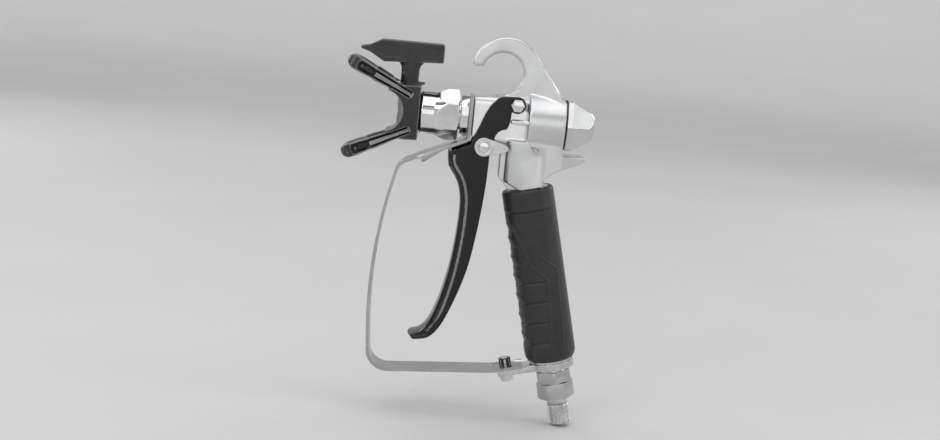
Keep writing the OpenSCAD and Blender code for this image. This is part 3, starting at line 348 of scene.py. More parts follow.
def lathe(profile, n=96, place=Matrix()):
    """Solid of revolution about Z from a closed profile of (r, z)."""
    bm = bmesh.new()
    rows = []
    for i in range(n):
        a = math.tau * i / n
        rows.append([bm.verts.new((r * math.cos(a), r * math.sin(a), z)) for r, z in profile])
    m = len(profile)
    for i in range(n):
        a, b = rows[i], rows[(i + 1) % n]
        for j in range(m):
            k = (j + 1) % m
            bm.faces.new((a[j], b[j], b[k], a[k]))
    bmesh.ops.remove_doubles(bm, verts=bm.verts, dist=LATHE_WELD)
    bmesh.ops.dissolve_degenerate(bm, edges=bm.edges, dist=LEAST_EDGE)
    bmesh.ops.recalc_face_normals(bm, faces=bm.faces)
    bm.transform(place)
    return bm


def rod(radius, length, place):
    """Cylinder along Z from 0 to length."""
    return lathe([(0, 0), (radius, 0), (radius, length), (0, length)], 48, place)


def temporary(bm):
    """An object that holds bm's mesh for as long as modifiers work on it."""
    mesh = bpy.data.meshes.new("work")
    bm.to_mesh(mesh)
    bm.free()
    ob = bpy.data.objects.new("work", mesh)
    bpy.context.scene.collection.objects.link(ob)
    return ob


def applied(ob):
    """The object's mesh with its modifiers applied, as a bmesh; the object goes."""
    graph = bpy.context.evaluated_depsgraph_get()
    mesh = bpy.data.meshes.new_from_object(ob.evaluated_get(graph))
    bm = bmesh.new()
    bm.from_mesh(mesh)
    old = ob.data
    bpy.data.objects.remove(ob)
    bpy.data.meshes.remove(old)
    bpy.data.meshes.remove(mesh)
    return bm


def cut(bm, *tools, mode="DIFFERENCE"):
    """bm less the tools, joined with them, or kept only where they are, as mode says."""
    for tool in tools:
        ob, other = temporary(bm), temporary(tool)
        m = ob.modifiers.new("cut", "BOOLEAN")
        m.operation, m.object, m.solver = mode, other, "MANIFOLD"
        bm = applied(ob)
        old = other.data
        bpy.data.objects.remove(other)
        bpy.data.meshes.remove(old)
    return bm


def remesh(bm, voxel, smooth=3):
    """An even quad skin over bm, its edges rounded by smoothing."""
    ob = temporary(bm)
    m = ob.modifiers.new("skin", "REMESH")
    m.mode, m.voxel_size, m.adaptivity = "VOXEL", voxel, 0
    if smooth:
        s = ob.modifiers.new("soft", "SMOOTH")
        s.factor, s.iterations = SMOOTHING, smooth
    return applied(ob)


def edge_bevel(ob, width, segments, angle, clamp):
    """The object's mesh as a bmesh, with its edges sharper than angle bevelled; the object goes."""
    m = ob.modifiers.new("bevel", "BEVEL")
    m.width, m.segments = width, segments
    m.limit_method, m.angle_limit = "ANGLE", math.radians(angle)
    m.use_clamp_overlap = clamp
    return applied(ob)


def bevel(bm, width, segments=2):
    """bm with its flat faces merged and its edges bevelled."""
    flat = math.radians(FLAT_ANGLE)
    bmesh.ops.dissolve_limit(bm, angle_limit=flat, verts=bm.verts, edges=bm.edges)
    return edge_bevel(temporary(bm), width, segments, BEVEL_ANGLE, True)


def piece(name, bm, body, material, replaces=(), sharp=30):
    """A finished piece in metres, riding on its body unless that is None."""
    bm.transform(TO_METRES)
    bmesh.ops.recalc_face_normals(bm, faces=bm.faces)
    mesh = bpy.data.meshes.new(name)
    bm.to_mesh(mesh)
    bm.free()
    mesh.materials.append(material)
    mesh.polygons.foreach_set("use_smooth", [True] * len(mesh.polygons))
    mesh.set_sharp_from_angle(angle=math.radians(sharp))
    ob = bpy.data.objects.new(name, mesh)
    bpy.context.scene.collection.objects.link(ob)
    if body is not None:
        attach(ob, body)
    if replaces:
        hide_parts(*replaces)
    return ob


def bevelled(name, node, body, material, width, segments=2):
    """A CAD node in its own shape with bevelled edges."""
    piece(name, bevel(cad(node), width, segments), body, material, [node], 32)


def softened(name, node, body, material, voxel, smooth):
    """A CAD node in its own shape with edges rounded by smoothing."""
    piece(name, remesh(cad(node), voxel, smooth), body, material, [node], sharp=60)


def arc(centre, radius, start, stop, n):
    """Points round a centre in X and Z, from one angle in degrees to another."""
    angles = [math.radians(start + (stop - start) * k / n) for k in range(n + 1)]
    return [(centre[0] + radius * math.cos(a), centre[1] + radius * math.sin(a)) for a in angles]


def rounding(across, depth):
    """How far a rounded end falls back at a share of its half width from the middle."""
    return depth * (1 - math.sqrt(1 - across * across))


# ---------------------------------------------------------------- gun body
# The hook's arcs, half its thickness and its chamfer, and its outline's ends at the tip and in the housing
HOOK_INNER, HOOK_INNER_R = (-11.3, 27.1), 12.2
HOOK_OUTER, HOOK_OUTER_R = (-9.4, 28.5), 20.4
HOOK_HALF, HOOK_EDGE = 4.5, 1.5
HOOK_TIP = [(-23.3, 30.7), (-24.3, 30.3), (-28.3, 30.2), (-29.2, 30.6)]
HOOK_FOOT = [(27.6, 13.3), (27.6, 9), (-15.5, 9), (-15.5, 13.7)]
# Cut off the CAD's body, because the hook plate takes the place of what stands here
ABOVE_BODY = [(-60, 17.25), (60, 17.25), (60, 80), (-60, 80)]
CAST_VOXEL = 0.42
# Corners, as x, y and z, of the faces by which the hook flares into the housing
FLARE = [(5.0, 4.2, 17.0), (27.1, 12.5, 11.0), (13.0, 4.2, 32.8)]
# Slot in the near side, and three-cornered pocket in both sides
SLOT, SLOT_OUT, SLOT_FLOOR = [(3.9, 6.3), (5.0, 6.3), (5.0, 12.2), (3.9, 12.2)], 12, 8.6
POCKET, POCKET_OUT, POCKET_FLOOR = [(8.2, -13.1), (13.9, -14.9), (12.5, -19.2)], 16, 11.7
# Wedge off the neck's front corners, as x and y, with its lower and upper ends
NECK_WEDGE, NECK_LOW, NECK_HIGH = [(-6.9, 10.9), (-0.3, 14.8), (-6.9, 14.8)], -36, -11.6
# The cheeks are the neck's sides below CHEEK_TOP, in front of CHEEK_BACK and beyond CHEEK_Y. They are crowned
# about a line that leans through CROWN_X, CROWN_Z.
CHEEK_TOP, CHEEK_BACK, CHEEK_Y = -12.5, 19, 9.3
CHEEK_TOP_FADE, CHEEK_BACK_FADE = 7, 6
CROWN_X, CROWN_Z, CROWN_LEAN, CROWN_HALF = 6.0, -25, 0.24, 10.5
CROWN_FALL, CROWN_MOST = 1.9, 1.4
# Where the barrel's sides get the paler machined colour, which is partly their machined finish and partly
# painted light
MACHINED_BACK, MACHINED_LOW, MACHINED_HIGH = 4.5, -11, 12.5
MACHINED_Y_LOW, MACHINED_Y_HIGH, MACHINED_FACING = 9.2, 9.8, 0.97


def hook_plate():
    """Hook with its edges chamfered, down into the housing and forward onto the barrel's top."""
    outer = arc(HOOK_OUTER, HOOK_OUTER_R, 172, 36, 60)
    inner = arc(HOOK_INNER, HOOK_INNER_R, -98, 160, 90)
    plate = prism(outer + HOOK_FOOT + inner + HOOK_TIP, -HOOK_HALF, HOOK_HALF)
    return edge_bevel(temporary(plate), HOOK_EDGE, 2, 60, False)


def crown_cheeks(bm):
    """Rounds the neck's cheeks, which are flat in the CAD."""
    for v in bm.verts:
        x, y, z = v.co
        if z < CHEEK_TOP and abs(y) > CHEEK_Y and x < CHEEK_BACK:
            t = (x - CROWN_X + CROWN_LEAN * (z - CROWN_Z)) / CROWN_HALF
            below = smoothstep((CHEEK_TOP - z) / CHEEK_TOP_FADE)
            fade = below * smoothstep((CHEEK_BACK - x) / CHEEK_BACK_FADE)
            v.co.y = math.copysign(abs(y) - CROWN_FALL * min(t * t, CROWN_MOST) * fade, y)


def looks_machined_and_lit(centre, normal):
    x, y, z = centre
    beside_barrel = x < MACHINED_BACK and MACHINED_LOW < z < MACHINED_HIGH
    return beside_barrel and MACHINED_Y_LOW < abs(y) < MACHINED_Y_HIGH and abs(normal.y) > MACHINED_FACING


def gun_casting():
    """Body with the hook plate and its flares, slot, pockets, chamfered neck and crowned cheeks."""
    bm = cut(cad("gun_body"), prism(ABOVE_BODY, -20, 20))
    add(bm, hook_plate())
    for side in SIDES:
        add(bm, loft([[(x, side, z) for x, y, z in FLARE], [(x, side * y, z) for x, y, z in FLARE]]))
    bm = remesh(bm, CAST_VOXEL, 0)
    bm = cut(bm, prism(SLOT, -SLOT_OUT, -SLOT_FLOOR), prism(POCKET, -POCKET_OUT, -POCKET_FLOOR),
             prism(POCKET, POCKET_FLOOR, POCKET_OUT))
    for side in SIDES:
        bm = cut(bm, prism([(x, side * y) for x, y in NECK_WEDGE], NECK_LOW, NECK_HIGH, SIDEWAYS))
    bm = remesh(bm, CAST_VOXEL, 5)
    crown_cheeks(bm)
    ob = piece("body_casting", bm, "gun", cast, ["gun_body"], sharp=60)
    # Flats on the barrel's sides get the paler machined material: their machined finish, and also painted
    # light.
    ob.data.materials.append(machined_and_lit)
    for face in ob.data.polygons:
        if looks_machined_and_lit(TO_GUN @ face.center, face.normal):
            face.material_index = 1


gun_casting()

# ---------------------------------------------------------------- rear cap and other metal parts
CAP_X, CAP_LEN = 28.6, 16.3
# Half the width across the cap's flats at places along the bore
CAP_TAPER = [(CAP_X - 6, 14.6), (CAP_X + 3.3, 14.4), (CAP_X + CAP_LEN + 0.1, 7.8)]


def rear_cap():
    """Cap whose six facets lean in towards its end, as in the photograph."""
    rings = []
    for x, flats in CAP_TAPER:
        corner = flats / math.cos(math.radians(30))
        angles = [math.radians(60 * k) for k in range(6)]
        rings.append([(x, corner * math.cos(a), corner * math.sin(a)) for a in angles])
    bm = cut(cad("rear_cap"), loft(rings), mode="INTERSECT")
    piece("rear_cap_shell", remesh(bm, 0.26, 3), "gun", nickel, ["rear_cap"], sharp=60)


rear_cap()
bevelled("outlet_hex", "outlet_fitting", "gun", chrome, 0.25)
softened("head_nut", "retaining_nut", "gun", chrome, 0.24, 3)
bevelled("handle_end_hex", "end_fitting", "gun", hex_steel, 0.3)
bevelled("swivel_hex_nut", "swivel_hex", "swivel", hex_steel, 0.5, 3)
bevelled("bolt_head", "pivot_bolt", "gun", chrome, 0.25)
bevelled("bolt_nut", "pivot_nut", "gun", chrome, 0.25)
bevelled("lock_cap", "lock_screw", "lock", chrome, 0.2)
bevelled("guard_strip", "trigger_guard", "gun", strip_steel, 0.4, 3)

# ---------------------------------------------------------------- guard screw, its ribbed nut and the bracket
STRIP_TOP, BRACKET_REACH = 146.3, 28.1
# The nut: its height, its lid's thickness, the radii of its bore, core and lid, and its ribs
NUT_H, NUT_LID, NUT_BORE_R, NUT_CORE_R, NUT_LID_R = 4.5, 0.5, 2.05, 2.95, 3.3
NUT_RIBS, RIB_REACH, RIB_R = 6, 2.75, 0.85


def guard_fixing():
    """Hexagon screw, and a knurled nut whose dark ribs and lid stand round a paler core."""
    place = handle(STRIP_TOP) @ Matrix.Translation((-BRACKET_REACH, 0, 0))
    beyond_nut = rod(6, 4, place @ Matrix.Translation((0, 0, NUT_H)))
    piece("guard_bolt", bevel(cut(cad("guard_screw"), beyond_nut), 0.3), "gun", chrome, ["guard_screw"], 32)
    lid_low = NUT_H - NUT_LID
    core = [(NUT_BORE_R, 0), (NUT_CORE_R, 0), (NUT_CORE_R, lid_low), (NUT_BORE_R, lid_low)]
    piece("nut_core", lathe(core, 72, place), "gun", zinc, ["guard_nut"], 32)
    lid = [(NUT_BORE_R, lid_low), (NUT_LID_R, lid_low), (NUT_LID_R, NUT_H - 0.2), (3.1, NUT_H),
           (NUT_BORE_R, NUT_H)]
    rib = [(0, 0.1), (RIB_R, 0.1), (RIB_R, NUT_H - 0.25), (0.6, NUT_H - 0.05), (0, NUT_H - 0.05)]
    dark = lathe(lid, 72, place)
    for k in range(NUT_RIBS):
        around = place @ turn("Z", 360 * k / NUT_RIBS) @ Matrix.Translation((RIB_REACH, 0, 0))
        add(dark, lathe(rib, 24, around))
    piece("nut_ribs", dark, "gun", nut_black, [], 40)


guard_fixing()
softened("bracket", "guard_bracket", "gun", ring_steel, 0.3, 9)

# ---------------------------------------------------------------- trigger
# The foot, below FOOT_Z, is rounded in plan from FOOT_X forward
FOOT_X, FOOT_Z, FOOT_ROUND, FOOT_FADE = -36, -115, 4.0, 14
# Points of the front edge: how near the middle, how low and high, and how they face
EDGE_HALF, EDGE_LOW, EDGE_HIGH, EDGE_FACING = 0.6, -133, -22, -0.3
# The painted highlight line: its distance behind the front edge, its width, where it starts to widen at its
# foot, and how far in from the lever's sides its faces can be
LINE_BEHIND, LINE_W, LINE_Z, LINE_FADE = 3.2, 1.5, -129, 12
LINE_DEPTH, LINE_FACING = 1.6, 0.7


def trigger():
    """Lever with a foot rounded in plan, as in the photograph, and a painted highlight: a paler line near
    each front corner.
    """
    bm = remesh(cad("trigger"), 0.4, 6)
    bm.normal_update()
    half = max(abs(v.co.y) for v in bm.verts)
    for v in bm.verts:
        if v.co.z < FOOT_Z and v.co.x < FOOT_X:
            across = min(1.0, abs(v.co.y) / half)
            v.co.x += rounding(across, FOOT_ROUND) * smoothstep((FOOT_X - v.co.x) / FOOT_FADE)
    front = [v.co for v in bm.verts
             if abs(v.co.y) < EDGE_HALF and EDGE_LOW < v.co.z < EDGE_HIGH and v.normal.x < EDGE_FACING]
    tree = KDTree(len(front))
    for i, co in enumerate(front):
        tree.insert((co.x, 0, co.z), i)
    tree.balance()
    highlight_faces = []
    for face in bm.faces:
        x, y, z = face.calc_center_median()
        behind = tree.find((x, 0, z))[2]
        line_end = LINE_BEHIND + LINE_W * smoothstep((z - LINE_Z) / LINE_FADE)
        on_side = abs(face.normal.y) > LINE_FACING and abs(y) > half - LINE_DEPTH
        if z < EDGE_HIGH and LINE_BEHIND < behind < line_end and on_side:
            highlight_faces.append(face.index)
    ob = piece("trigger_lever", bm, "trigger_body", gloss_black, ["trigger"], sharp=60)
    # The line's faces take the paler material, a painted highlight.
    ob.data.materials.append(painted_corner_highlight)
    for i in highlight_faces:
        ob.data.polygons[i].material_index = 1


trigger()

# ---------------------------------------------------------------- trigger lock lever
# Middle of the lever's outer face, and the section of the groove round its screw
LOCK_FACE = (-18.8, -16.8, -15.8)
LOCK_GROOVE = [(3.35, -1), (3.95, -1), (3.95, 0.35), (3.35, 0.35)]


def lock_lever():
    groove = lathe(LOCK_GROOVE, 64, Matrix.Translation(LOCK_FACE) @ turn("X", -90))
    bm = cut(cad("lock_lever"), groove)
    piece("lock_lever_arm", remesh(bm, 0.2, 4), "lock", nickel, ["lock_lever"], sharp=60)


lock_lever()

# ---------------------------------------------------------------- grip
# s is measured down the handle from the bore axis, and phi round it from the front in degrees
GRIP_TOP, GRIP_BOTTOM, GRIP_R, TUBE_R = 40.3, 145.9, 15.5, 12.45
TOP_ROUND = 2
# How far the lower end comes in, and over what length
END_IN, END_LONG = 2.7, 6.5
GRIP_COLUMNS, GRIP_STEPS = 320, 300
# Line of the ridge round the finger pad, and of the crease behind it, as s and phi
RIDGE = [(57, 24), (60.6, 37.2), (70.9, 54), (86.4, 74.4), (90.5, 90.1), (95.1, 105), (100, 106),
         (128.4, 98), (136, 92)]
CREASE = [(80, 88), (82.3, 96.5), (89.5, 127.2), (96, 126), (108.3, 123.8), (129.6, 119), (136, 117)]
# s of the finger ribs at the front, and of the grooves across the pad
PAD_TICKS = [59.7, 68.9, 80.3, 91.8, 103.9, 116.1, 127.9]
PAD_GROOVES = [96.2, 108.4, 121.0, 133.6]
# Heights or depths, and half widths, of the relief
RIDGE_H, RIDGE_HALF = 0.42, 1.1
PAD_DEPTH, PAD_SLOPE = 0.45, 1.6
GROOVE_DEPTH, GROOVE_HALF = 0.75, 0.9
TICK_H, TICK_HALF = 0.55, 2.2
HOLLOW_DEPTH, HOLLOW_HALF, HOLLOW_BELOW = 0.35, 2.0, 4.5
CREASE_DEPTH, CREASE_HALF = 0.5, 0.8
LIP_H, LIP_HALF, LIP_BEHIND = 0.2, 1.2, 1.6
# Ring groove near the top and the low ring above it, and their s
RING_S, RING_DEPTH, RING_HALF = 53.2, 0.5, 0.5
BAND_S, BAND_H, BAND_HALF = 51.5, 0.15, 1.6
# The pad's grooves start at GROOVE_PHI, and the ribs end at TICK_PHI
GROOVE_PHI, GROOVE_FADE, TICK_PHI, TICK_FADE = 14, 10, 40, 16


def along(table, s):
    """Value of a piecewise straight table at s, or None outside it."""
    if s < table[0][0] or s > table[-1][0]:
        return None
    for (a, va), (b, vb) in zip(table, table[1:]):
        if s <= b:
            return va + (vb - va) * (s - a) / (b - a)


def mound(distance, half):
    """Smooth bump that is 1 in the middle and 0 from half on."""
    return math.cos(math.pi / 2 * min(1, abs(distance) / half)) ** 2 if abs(distance) < half else 0.0


def grip_relief(phi, s):
    """Height of the grip's surface over its plain cylinder at phi degrees from the front."""
    per_degree = math.radians(1) * GRIP_R
    h = 0.0
    ridge, crease = along(RIDGE, s), along(CREASE, s)
    if ridge is not None:
        gap = (phi - ridge) * per_degree
        fade = min(1, (s - RIDGE[0][0]) / 4, (RIDGE[-1][0] - s) / 3)
        h += RIDGE_H * mound(gap, RIDGE_HALF) * max(fade, 0)
        inside = smoothstep(-gap / PAD_SLOPE) * max(fade, 0)
        h -= PAD_DEPTH * inside
        aside = smoothstep((phi - GROOVE_PHI) / GROOVE_FADE)
        for g in PAD_GROOVES:
            h -= GROOVE_DEPTH * mound(s - g, GROOVE_HALF) * inside * aside
        if phi < TICK_PHI:
            front = smoothstep((TICK_PHI - phi) / TICK_FADE)
            for t in PAD_TICKS:
                h += TICK_H * mound(s - t, TICK_HALF) * front * inside
                h -= HOLLOW_DEPTH * mound(s - t - HOLLOW_BELOW, HOLLOW_HALF) * front * inside
    if crease is not None:
        gap = (phi - crease) * per_degree
        fade = min(1, (s - CREASE[0][0]) / 2, (CREASE[-1][0] - s) / 6)
        h -= CREASE_DEPTH * mound(gap, CREASE_HALF) * max(fade, 0)
        h += LIP_H * mound(gap - LIP_BEHIND, LIP_HALF) * max(fade, 0)
    h -= RING_DEPTH * mound(s - RING_S, RING_HALF)
    h += BAND_H * mound(s - BAND_S, BAND_HALF)
    return h


def grip_profile():
    """Radius and depth below the grip's top, from the tube over the outside and back to the tube."""
    depth = GRIP_BOTTOM - GRIP_TOP
    profile = [(TUBE_R, 0.3), (TUBE_R + 0.3, 0)]
    for k in range(7):
        a = math.radians(90 * k / 6)
        profile.append((GRIP_R - TOP_ROUND + TOP_ROUND * math.sin(a), TOP_ROUND - TOP_ROUND * math.cos(a)))
    for k in range(1, GRIP_STEPS):
        profile.append((GRIP_R, TOP_ROUND + (depth - TOP_ROUND - END_LONG) * k / GRIP_STEPS))
    for k in range(17):
        a = math.radians(90 * k / 16)
        profile.append((GRIP_R - END_IN * (1 - math.cos(a)), depth - END_LONG * (1 - math.sin(a))))
    return profile + [(TUBE_R + 0.3, depth), (TUBE_R, depth - 0.3)]


def grip():
    """Moulded grip: a turned sleeve with its relief."""
    profile = grip_profile()
    sections = []
    for i in range(GRIP_COLUMNS):
        a = math.tau * i / GRIP_COLUMNS
        phi = math.degrees(math.acos(max(-1, min(1, -math.cos(a)))))
        section = []
        for r, d in profile:
            if r > TUBE_R + 1:
                r += grip_relief(phi, GRIP_TOP + d) * smoothstep((r - GRIP_R + 2) / 1.5)
            section.append((r * math.cos(a), r * math.sin(a), -d))
        sections.append(section)
    piece("grip", turned(sections, handle(GRIP_TOP)), "gun", rubber, ["grip_sleeve"], sharp=70)


grip()

# ---------------------------------------------------------------- needle spring
WIRE_R, COIL_R, COIL_TURNS, STEPS_PER_TURN, WIRE_SIDES = 0.65, 4.9, 6, 36, 12


def needle_spring():
    """Coil spring over the length of the CAD's needle spring."""
    sleeve = cad("needle_spring")
    start = min(v.co.x for v in sleeve.verts)
    end = max(v.co.x for v in sleeve.verts)
    sleeve.free()
    length = end - start - 2 * WIRE_R
    steps = COIL_TURNS * STEPS_PER_TURN
    rings = []
    for k in range(steps + 1):
        a = math.tau * k / STEPS_PER_TURN
        x = start + WIRE_R + length * k / steps
        ring = []
        for j in range(WIRE_SIDES):
            b = math.tau * j / WIRE_SIDES
            r = COIL_R + WIRE_R * math.cos(b)
            ring.append((x + WIRE_R * math.sin(b), r * math.cos(a), r * math.sin(a)))
        rings.append(ring)
    ob = piece("needle_spring_coil", loft(rings), None, spring_steel, ["needle_spring"], sharp=60)
    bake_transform(ob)


needle_spring()

# ---------------------------------------------------------------- hose thread
# Places along the handle of the plug's start, the collar's start, and the thread's start and end
PLUG_S, COLLAR_S, THREAD_S, THREAD_END_S = 157.3, 170.2, 174.8, 186.9
BORE_R, PLUG_R, NECK_R, COLLAR_R, LEAST_R = 3.0, 6.0, 5.2, 6.2, 5.6
PITCH, CREST_R, ROOT_R = 1.4, 6.9, 6.5
THREAD_COLUMNS, THREAD_STEPS = 96, 110


def thread_radius(s, a):
    """The thread's radius at s, at the angle a round the stem."""
    phase = ((s - THREAD_S) / PITCH - a / math.tau) % 1
    tooth = min(1, max(0, 1.7 - 3.4 * abs(phase - 0.5)))
    r = ROOT_R + (CREST_R - ROOT_R) * smoothstep(tooth) * smoothstep((s - THREAD_S) / 1.2)
    r = min(r, CREST_R - 0.75 * max(0, s - (THREAD_END_S - 0.9)))
    return max(r, LEAST_R)


def swivel_stem():
    """Neck, thread and plug of the swivel in one turned skin whose radius follows the thread's helix."""
    stem = [(BORE_R, PLUG_S), (PLUG_R, PLUG_S), (PLUG_R, 159.9), (NECK_R, 160.0), (NECK_R, COLLAR_S - 0.4),
            (NECK_R, COLLAR_S), (5.9, COLLAR_S), (COLLAR_R, COLLAR_S + 0.3), (COLLAR_R, THREAD_S - 0.9),
            (5.8, THREAD_S - 0.4)]
    nose = [(5.2, THREAD_END_S), (4.2, THREAD_END_S), (BORE_R, THREAD_END_S - 2.2)]
    sections = []
    for i in range(THREAD_COLUMNS):
        a = math.tau * i / THREAD_COLUMNS
        thread = []
        for k in range(THREAD_STEPS + 1):
            s = THREAD_S - 0.3 + (THREAD_END_S - THREAD_S + 0.1) * k / THREAD_STEPS
            thread.append((thread_radius(s, a), min(s, THREAD_END_S)))
        sections.append([(r * math.cos(a), r * math.sin(a), -s) for r, s in stem + thread + nose])
    piece("swivel_thread", turned(sections, handle(0)), "swivel", ring_steel, ["swivel_stem"], sharp=50)


swivel_stem()

# ---------------------------------------------------------------- tip guard
# A wing has a frame of its own: X out from its root, Y across the gun, Z through its thickness
WING_LEN, WING_T, WING_ANGLE = 37.0, 5.6, 25.0
HEAD_TOP, WING_INSET, WING_X = 15.8, 0.3, -69.2
# Recess in an edge face: the wall left over and under it, its floor and mouth, and its ends
WALL, RECESS_FLOOR, RECESS_MOUTH, RECESS_START, RECESS_SHORT = 0.7, 7.2, 13, -6, 6.5
# Deeper oval in the recess
OVAL_X, OVAL_LONG, OVAL_HALF, OVAL_POINTS = 23.5, 5.2, 1.55, 24
OVAL_FLOOR, OVAL_MOUTH = 5.6, 9
# Section of the rib in the recess, as y and z, and its ends
RIB, RIB_START, RIB_END = [(6.8, -1.05), (12.6, -1.05), (11.4, 1.05), (6.8, 1.05)], -7, 18.4
# Profile of the boss near the wing's end, how far it is from the end, and where it starts
BOSS, BOSS_BACK, BOSS_Y = [(0, 0), (1.15, 0), (1.15, 1.2), (0.8, 1.7), (0, 1.9)], 9.6, 6.6
# The wing is shaped from SHAPE_X on, within SHAPE_Z of its middle. It thickens along GROW_LEN, and more
# along END_GROW_LEN from END_GROW_BACK before its end.
SHAPE_X, SHAPE_Z = 3, 5
GROW, GROW_LEN = 0.22, 16
END_GROW, END_GROW_BACK, END_GROW_LEN = 0.20, 20, 12
# Its end is rounded in side view along NOSE, and in plan
NOSE, NOSE_LEAST = 4.5, 0.03
PLAN_HALF, PLAN_ROUND, PLAN_BACK, PLAN_FADE = 12.8, 4.0, 9, 8
# Faces on the ribs, which are painted paler as a highlight
PALE_END, PALE_Z, PALE_Y_LOW, PALE_Y_HIGH, PALE_FACING = 18.2, 1.5, 11.0, 13.5, 0.6


def wing_place(up):
    """A wing's frame in the gun's, for the upper one (1) or the lower one (-1)."""
    z = HEAD_TOP - WING_T / 2 - WING_INSET
    place = Matrix.Translation((WING_X, 0, up * z)) @ turn("Z", 180)
    return place @ turn("Y", -up * WING_ANGLE)


def dress_wing_edge(bm, place, side):
    """bm with the recess, oval, rib and boss in one edge face of a wing."""
    edge = WING_T / 2 - WALL
    far = WING_LEN - RECESS_SHORT
    recess = [(RECESS_START, -edge), (far - 2, -edge), (far - 0.6, 0.8 - edge), (far, 0),
              (far - 0.6, edge - 0.8), (far - 2, edge), (RECESS_START, edge)]
    bm = cut(bm, prism(recess, *sorted((side * RECESS_FLOOR, side * RECESS_MOUTH)), place))
    angles = [math.tau * k / OVAL_POINTS for k in range(OVAL_POINTS)]
    oval = [(OVAL_X + OVAL_LONG * math.cos(a), OVAL_HALF * math.sin(a)) for a in angles]
    bm = cut(bm, prism(oval, *sorted((side * OVAL_FLOOR, side * OVAL_MOUTH)), place))
    bar = loft([[(x, side * y, z) for y, z in RIB] for x in (RIB_START, RIB_END)])
    bar.transform(place)
    bm = cut(bm, bar, mode="UNION")
    boss_at = Matrix.Translation((WING_LEN - BOSS_BACK, side * BOSS_Y, 0))
    return cut(bm, lathe(BOSS, 32, place @ boss_at @ turn("X", -90 * side)), mode="UNION")


def shape_wing(bm, place):
    """Thickens a wing towards its end and rounds its end."""
    back = place.inverted()
    for v in bm.verts:
        at = back @ v.co
        if at.x < SHAPE_X or abs(at.z) > SHAPE_Z:
            continue
        nose = max(0.0, (at.x - WING_LEN + NOSE) / NOSE)
        end_grow = END_GROW * smoothstep((at.x - WING_LEN + END_GROW_BACK) / END_GROW_LEN)
        grow = 1 + GROW * smoothstep((at.x - SHAPE_X) / GROW_LEN) + end_grow
        at.z *= grow * math.sqrt(max(NOSE_LEAST, 1 - nose * nose))
        across = min(1.0, abs(at.y) / PLAN_HALF)
        at.x -= rounding(across, PLAN_ROUND) * smoothstep((at.x - WING_LEN + PLAN_BACK) / PLAN_FADE)
        v.co = place @ at


def on_rib(at, normal):
    along_rib = RIB_START < at.x < PALE_END and abs(at.z) < PALE_Z
    return along_rib and PALE_Y_LOW < abs(at.y) < PALE_Y_HIGH and abs(normal.y) > PALE_FACING


def tip_guard():
    """Wings with a rounded end, a recess in each edge face, a proud rib in it and a boss near its end."""
    bm = cad("tip_guard")
    for up in SIDES:
        for side in SIDES:
            bm = dress_wing_edge(bm, wing_place(up), side)
    bm = remesh(bm, 0.32, 4)
    for up in SIDES:
        shape_wing(bm, wing_place(up))
    ob = piece("tip_guard_shell", bm, "guard_head", plastic, ["tip_guard"], sharp=60)
    # The ribs take the paler plastic, a painted highlight.
    ob.data.materials.append(painted_highlight_rib_plastic)
    for up in SIDES:
        back = wing_place(up).inverted() @ TO_GUN
        for face in ob.data.polygons:
            if on_rib(back @ face.center, face.normal):
                face.material_index = 1


tip_guard()

# ---------------------------------------------------------------- spray tip
STEM_X = -65.8
TIP_HANDLE_OUT = 6
# Panels let into both faces of the handle, and the y of their floors
LEFT_PANEL = [(-92, 37.6), (-84, 38.4), (-72, 38.2), (-72, 31.2), (-81, 30.9), (-87, 33.6)]
RIGHT_PANEL = [(-58.6, 38.6), (-49.4, 38.4), (-49.4, 30.6), (-58.6, 30.4)]
LEFT_FLOOR, RIGHT_FLOOR = 4.5, 4.65
# The stem's flare as z, half its length along the bore and half its width
STEM_FLARE = [(21.0, 5.25, 5.25), (25.0, 5.4, 5.25), (27.0, 6.1, 5.1), (28.4, 7.4, 4.9), (29.4, 7.6, 4.8)]


def tip_handle():
    """Handle with a panel in each half of both faces, on a stem that flares up into it."""
    bm = cad("tip_handle")
    for panel, floor in ((LEFT_PANEL, LEFT_FLOOR), (RIGHT_PANEL, RIGHT_FLOOR)):
        bm = cut(bm, prism(panel, -TIP_HANDLE_OUT, -floor), prism(panel, floor, TIP_HANDLE_OUT))
    angles = [math.tau * k / 48 for k in range(48)]
    rings = [[(STEM_X + rx * math.cos(a), ry * math.sin(a), z) for a in angles] for z, rx, ry in STEM_FLARE]
    bm = cut(bm, loft(rings), mode="UNION")
    piece("tip_handle_grip", remesh(bm, 0.32, 6), "tip", soft_plastic, ["tip_handle"], sharp=60)


tip_handle()
bevelled("tip_cylinder", "tip_barrel", "tip", tip_steel, 0.3)

# ---------------------------------------------------------------- CAD nodes that keep their own shape
FINISHES = {
    "rear_cap_seal": seal, "needle_packing": packing, "packing_nut": brass, "outlet_gasket": seal,
    "valve_seat": carbide, "handle_tube": ring_steel, "filter_screen": screen, "filter_cap": zinc,
    "filter_spring": spring_steel, "end_fitting_seal": seal, "pivot_washers": nickel,
    "trigger_bushes": brass, "lock_shaft": zinc, "lock_ring": spring_steel, "needle": zinc,
    "needle_ball": carbide, "needle_yoke": zinc, "push_pins": chrome, "saddle_seal": seal,
    "tip_seal": seal, "guard_collar_ring": spring_steel, "tip_nozzle": carbide, "swivel_seal": seal,
    "swivel_ring": spring_steel,
}
for node, material in FINISHES.items():
    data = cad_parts[node].data
    data.materials.clear()
    data.materials.append(material)

# ---------------------------------------------------------------- studio
# In metres: the flat floor's radius, its bend's radius, the wall over the bend, and the gap under the gun
FLOOR_FLAT, FLOOR_BEND, WALL_H, FLOOR_GAP = 3.2, 2.4, 1.5, 0.0005
FLOOR_WELD = 1e-5
BEND_STEPS, FLOOR_COLUMNS = 24, 96
# The floor's own light, and the distances between which it comes in
FAR_LIFT, LIFT_FROM, LIFT_TO = 0.28, 0.9, 4.2
WORLD_GREY, WORLD_STRENGTH = 0.55, 0.45
LAMP_TARGET = Vector((0.0, 0, -0.075))
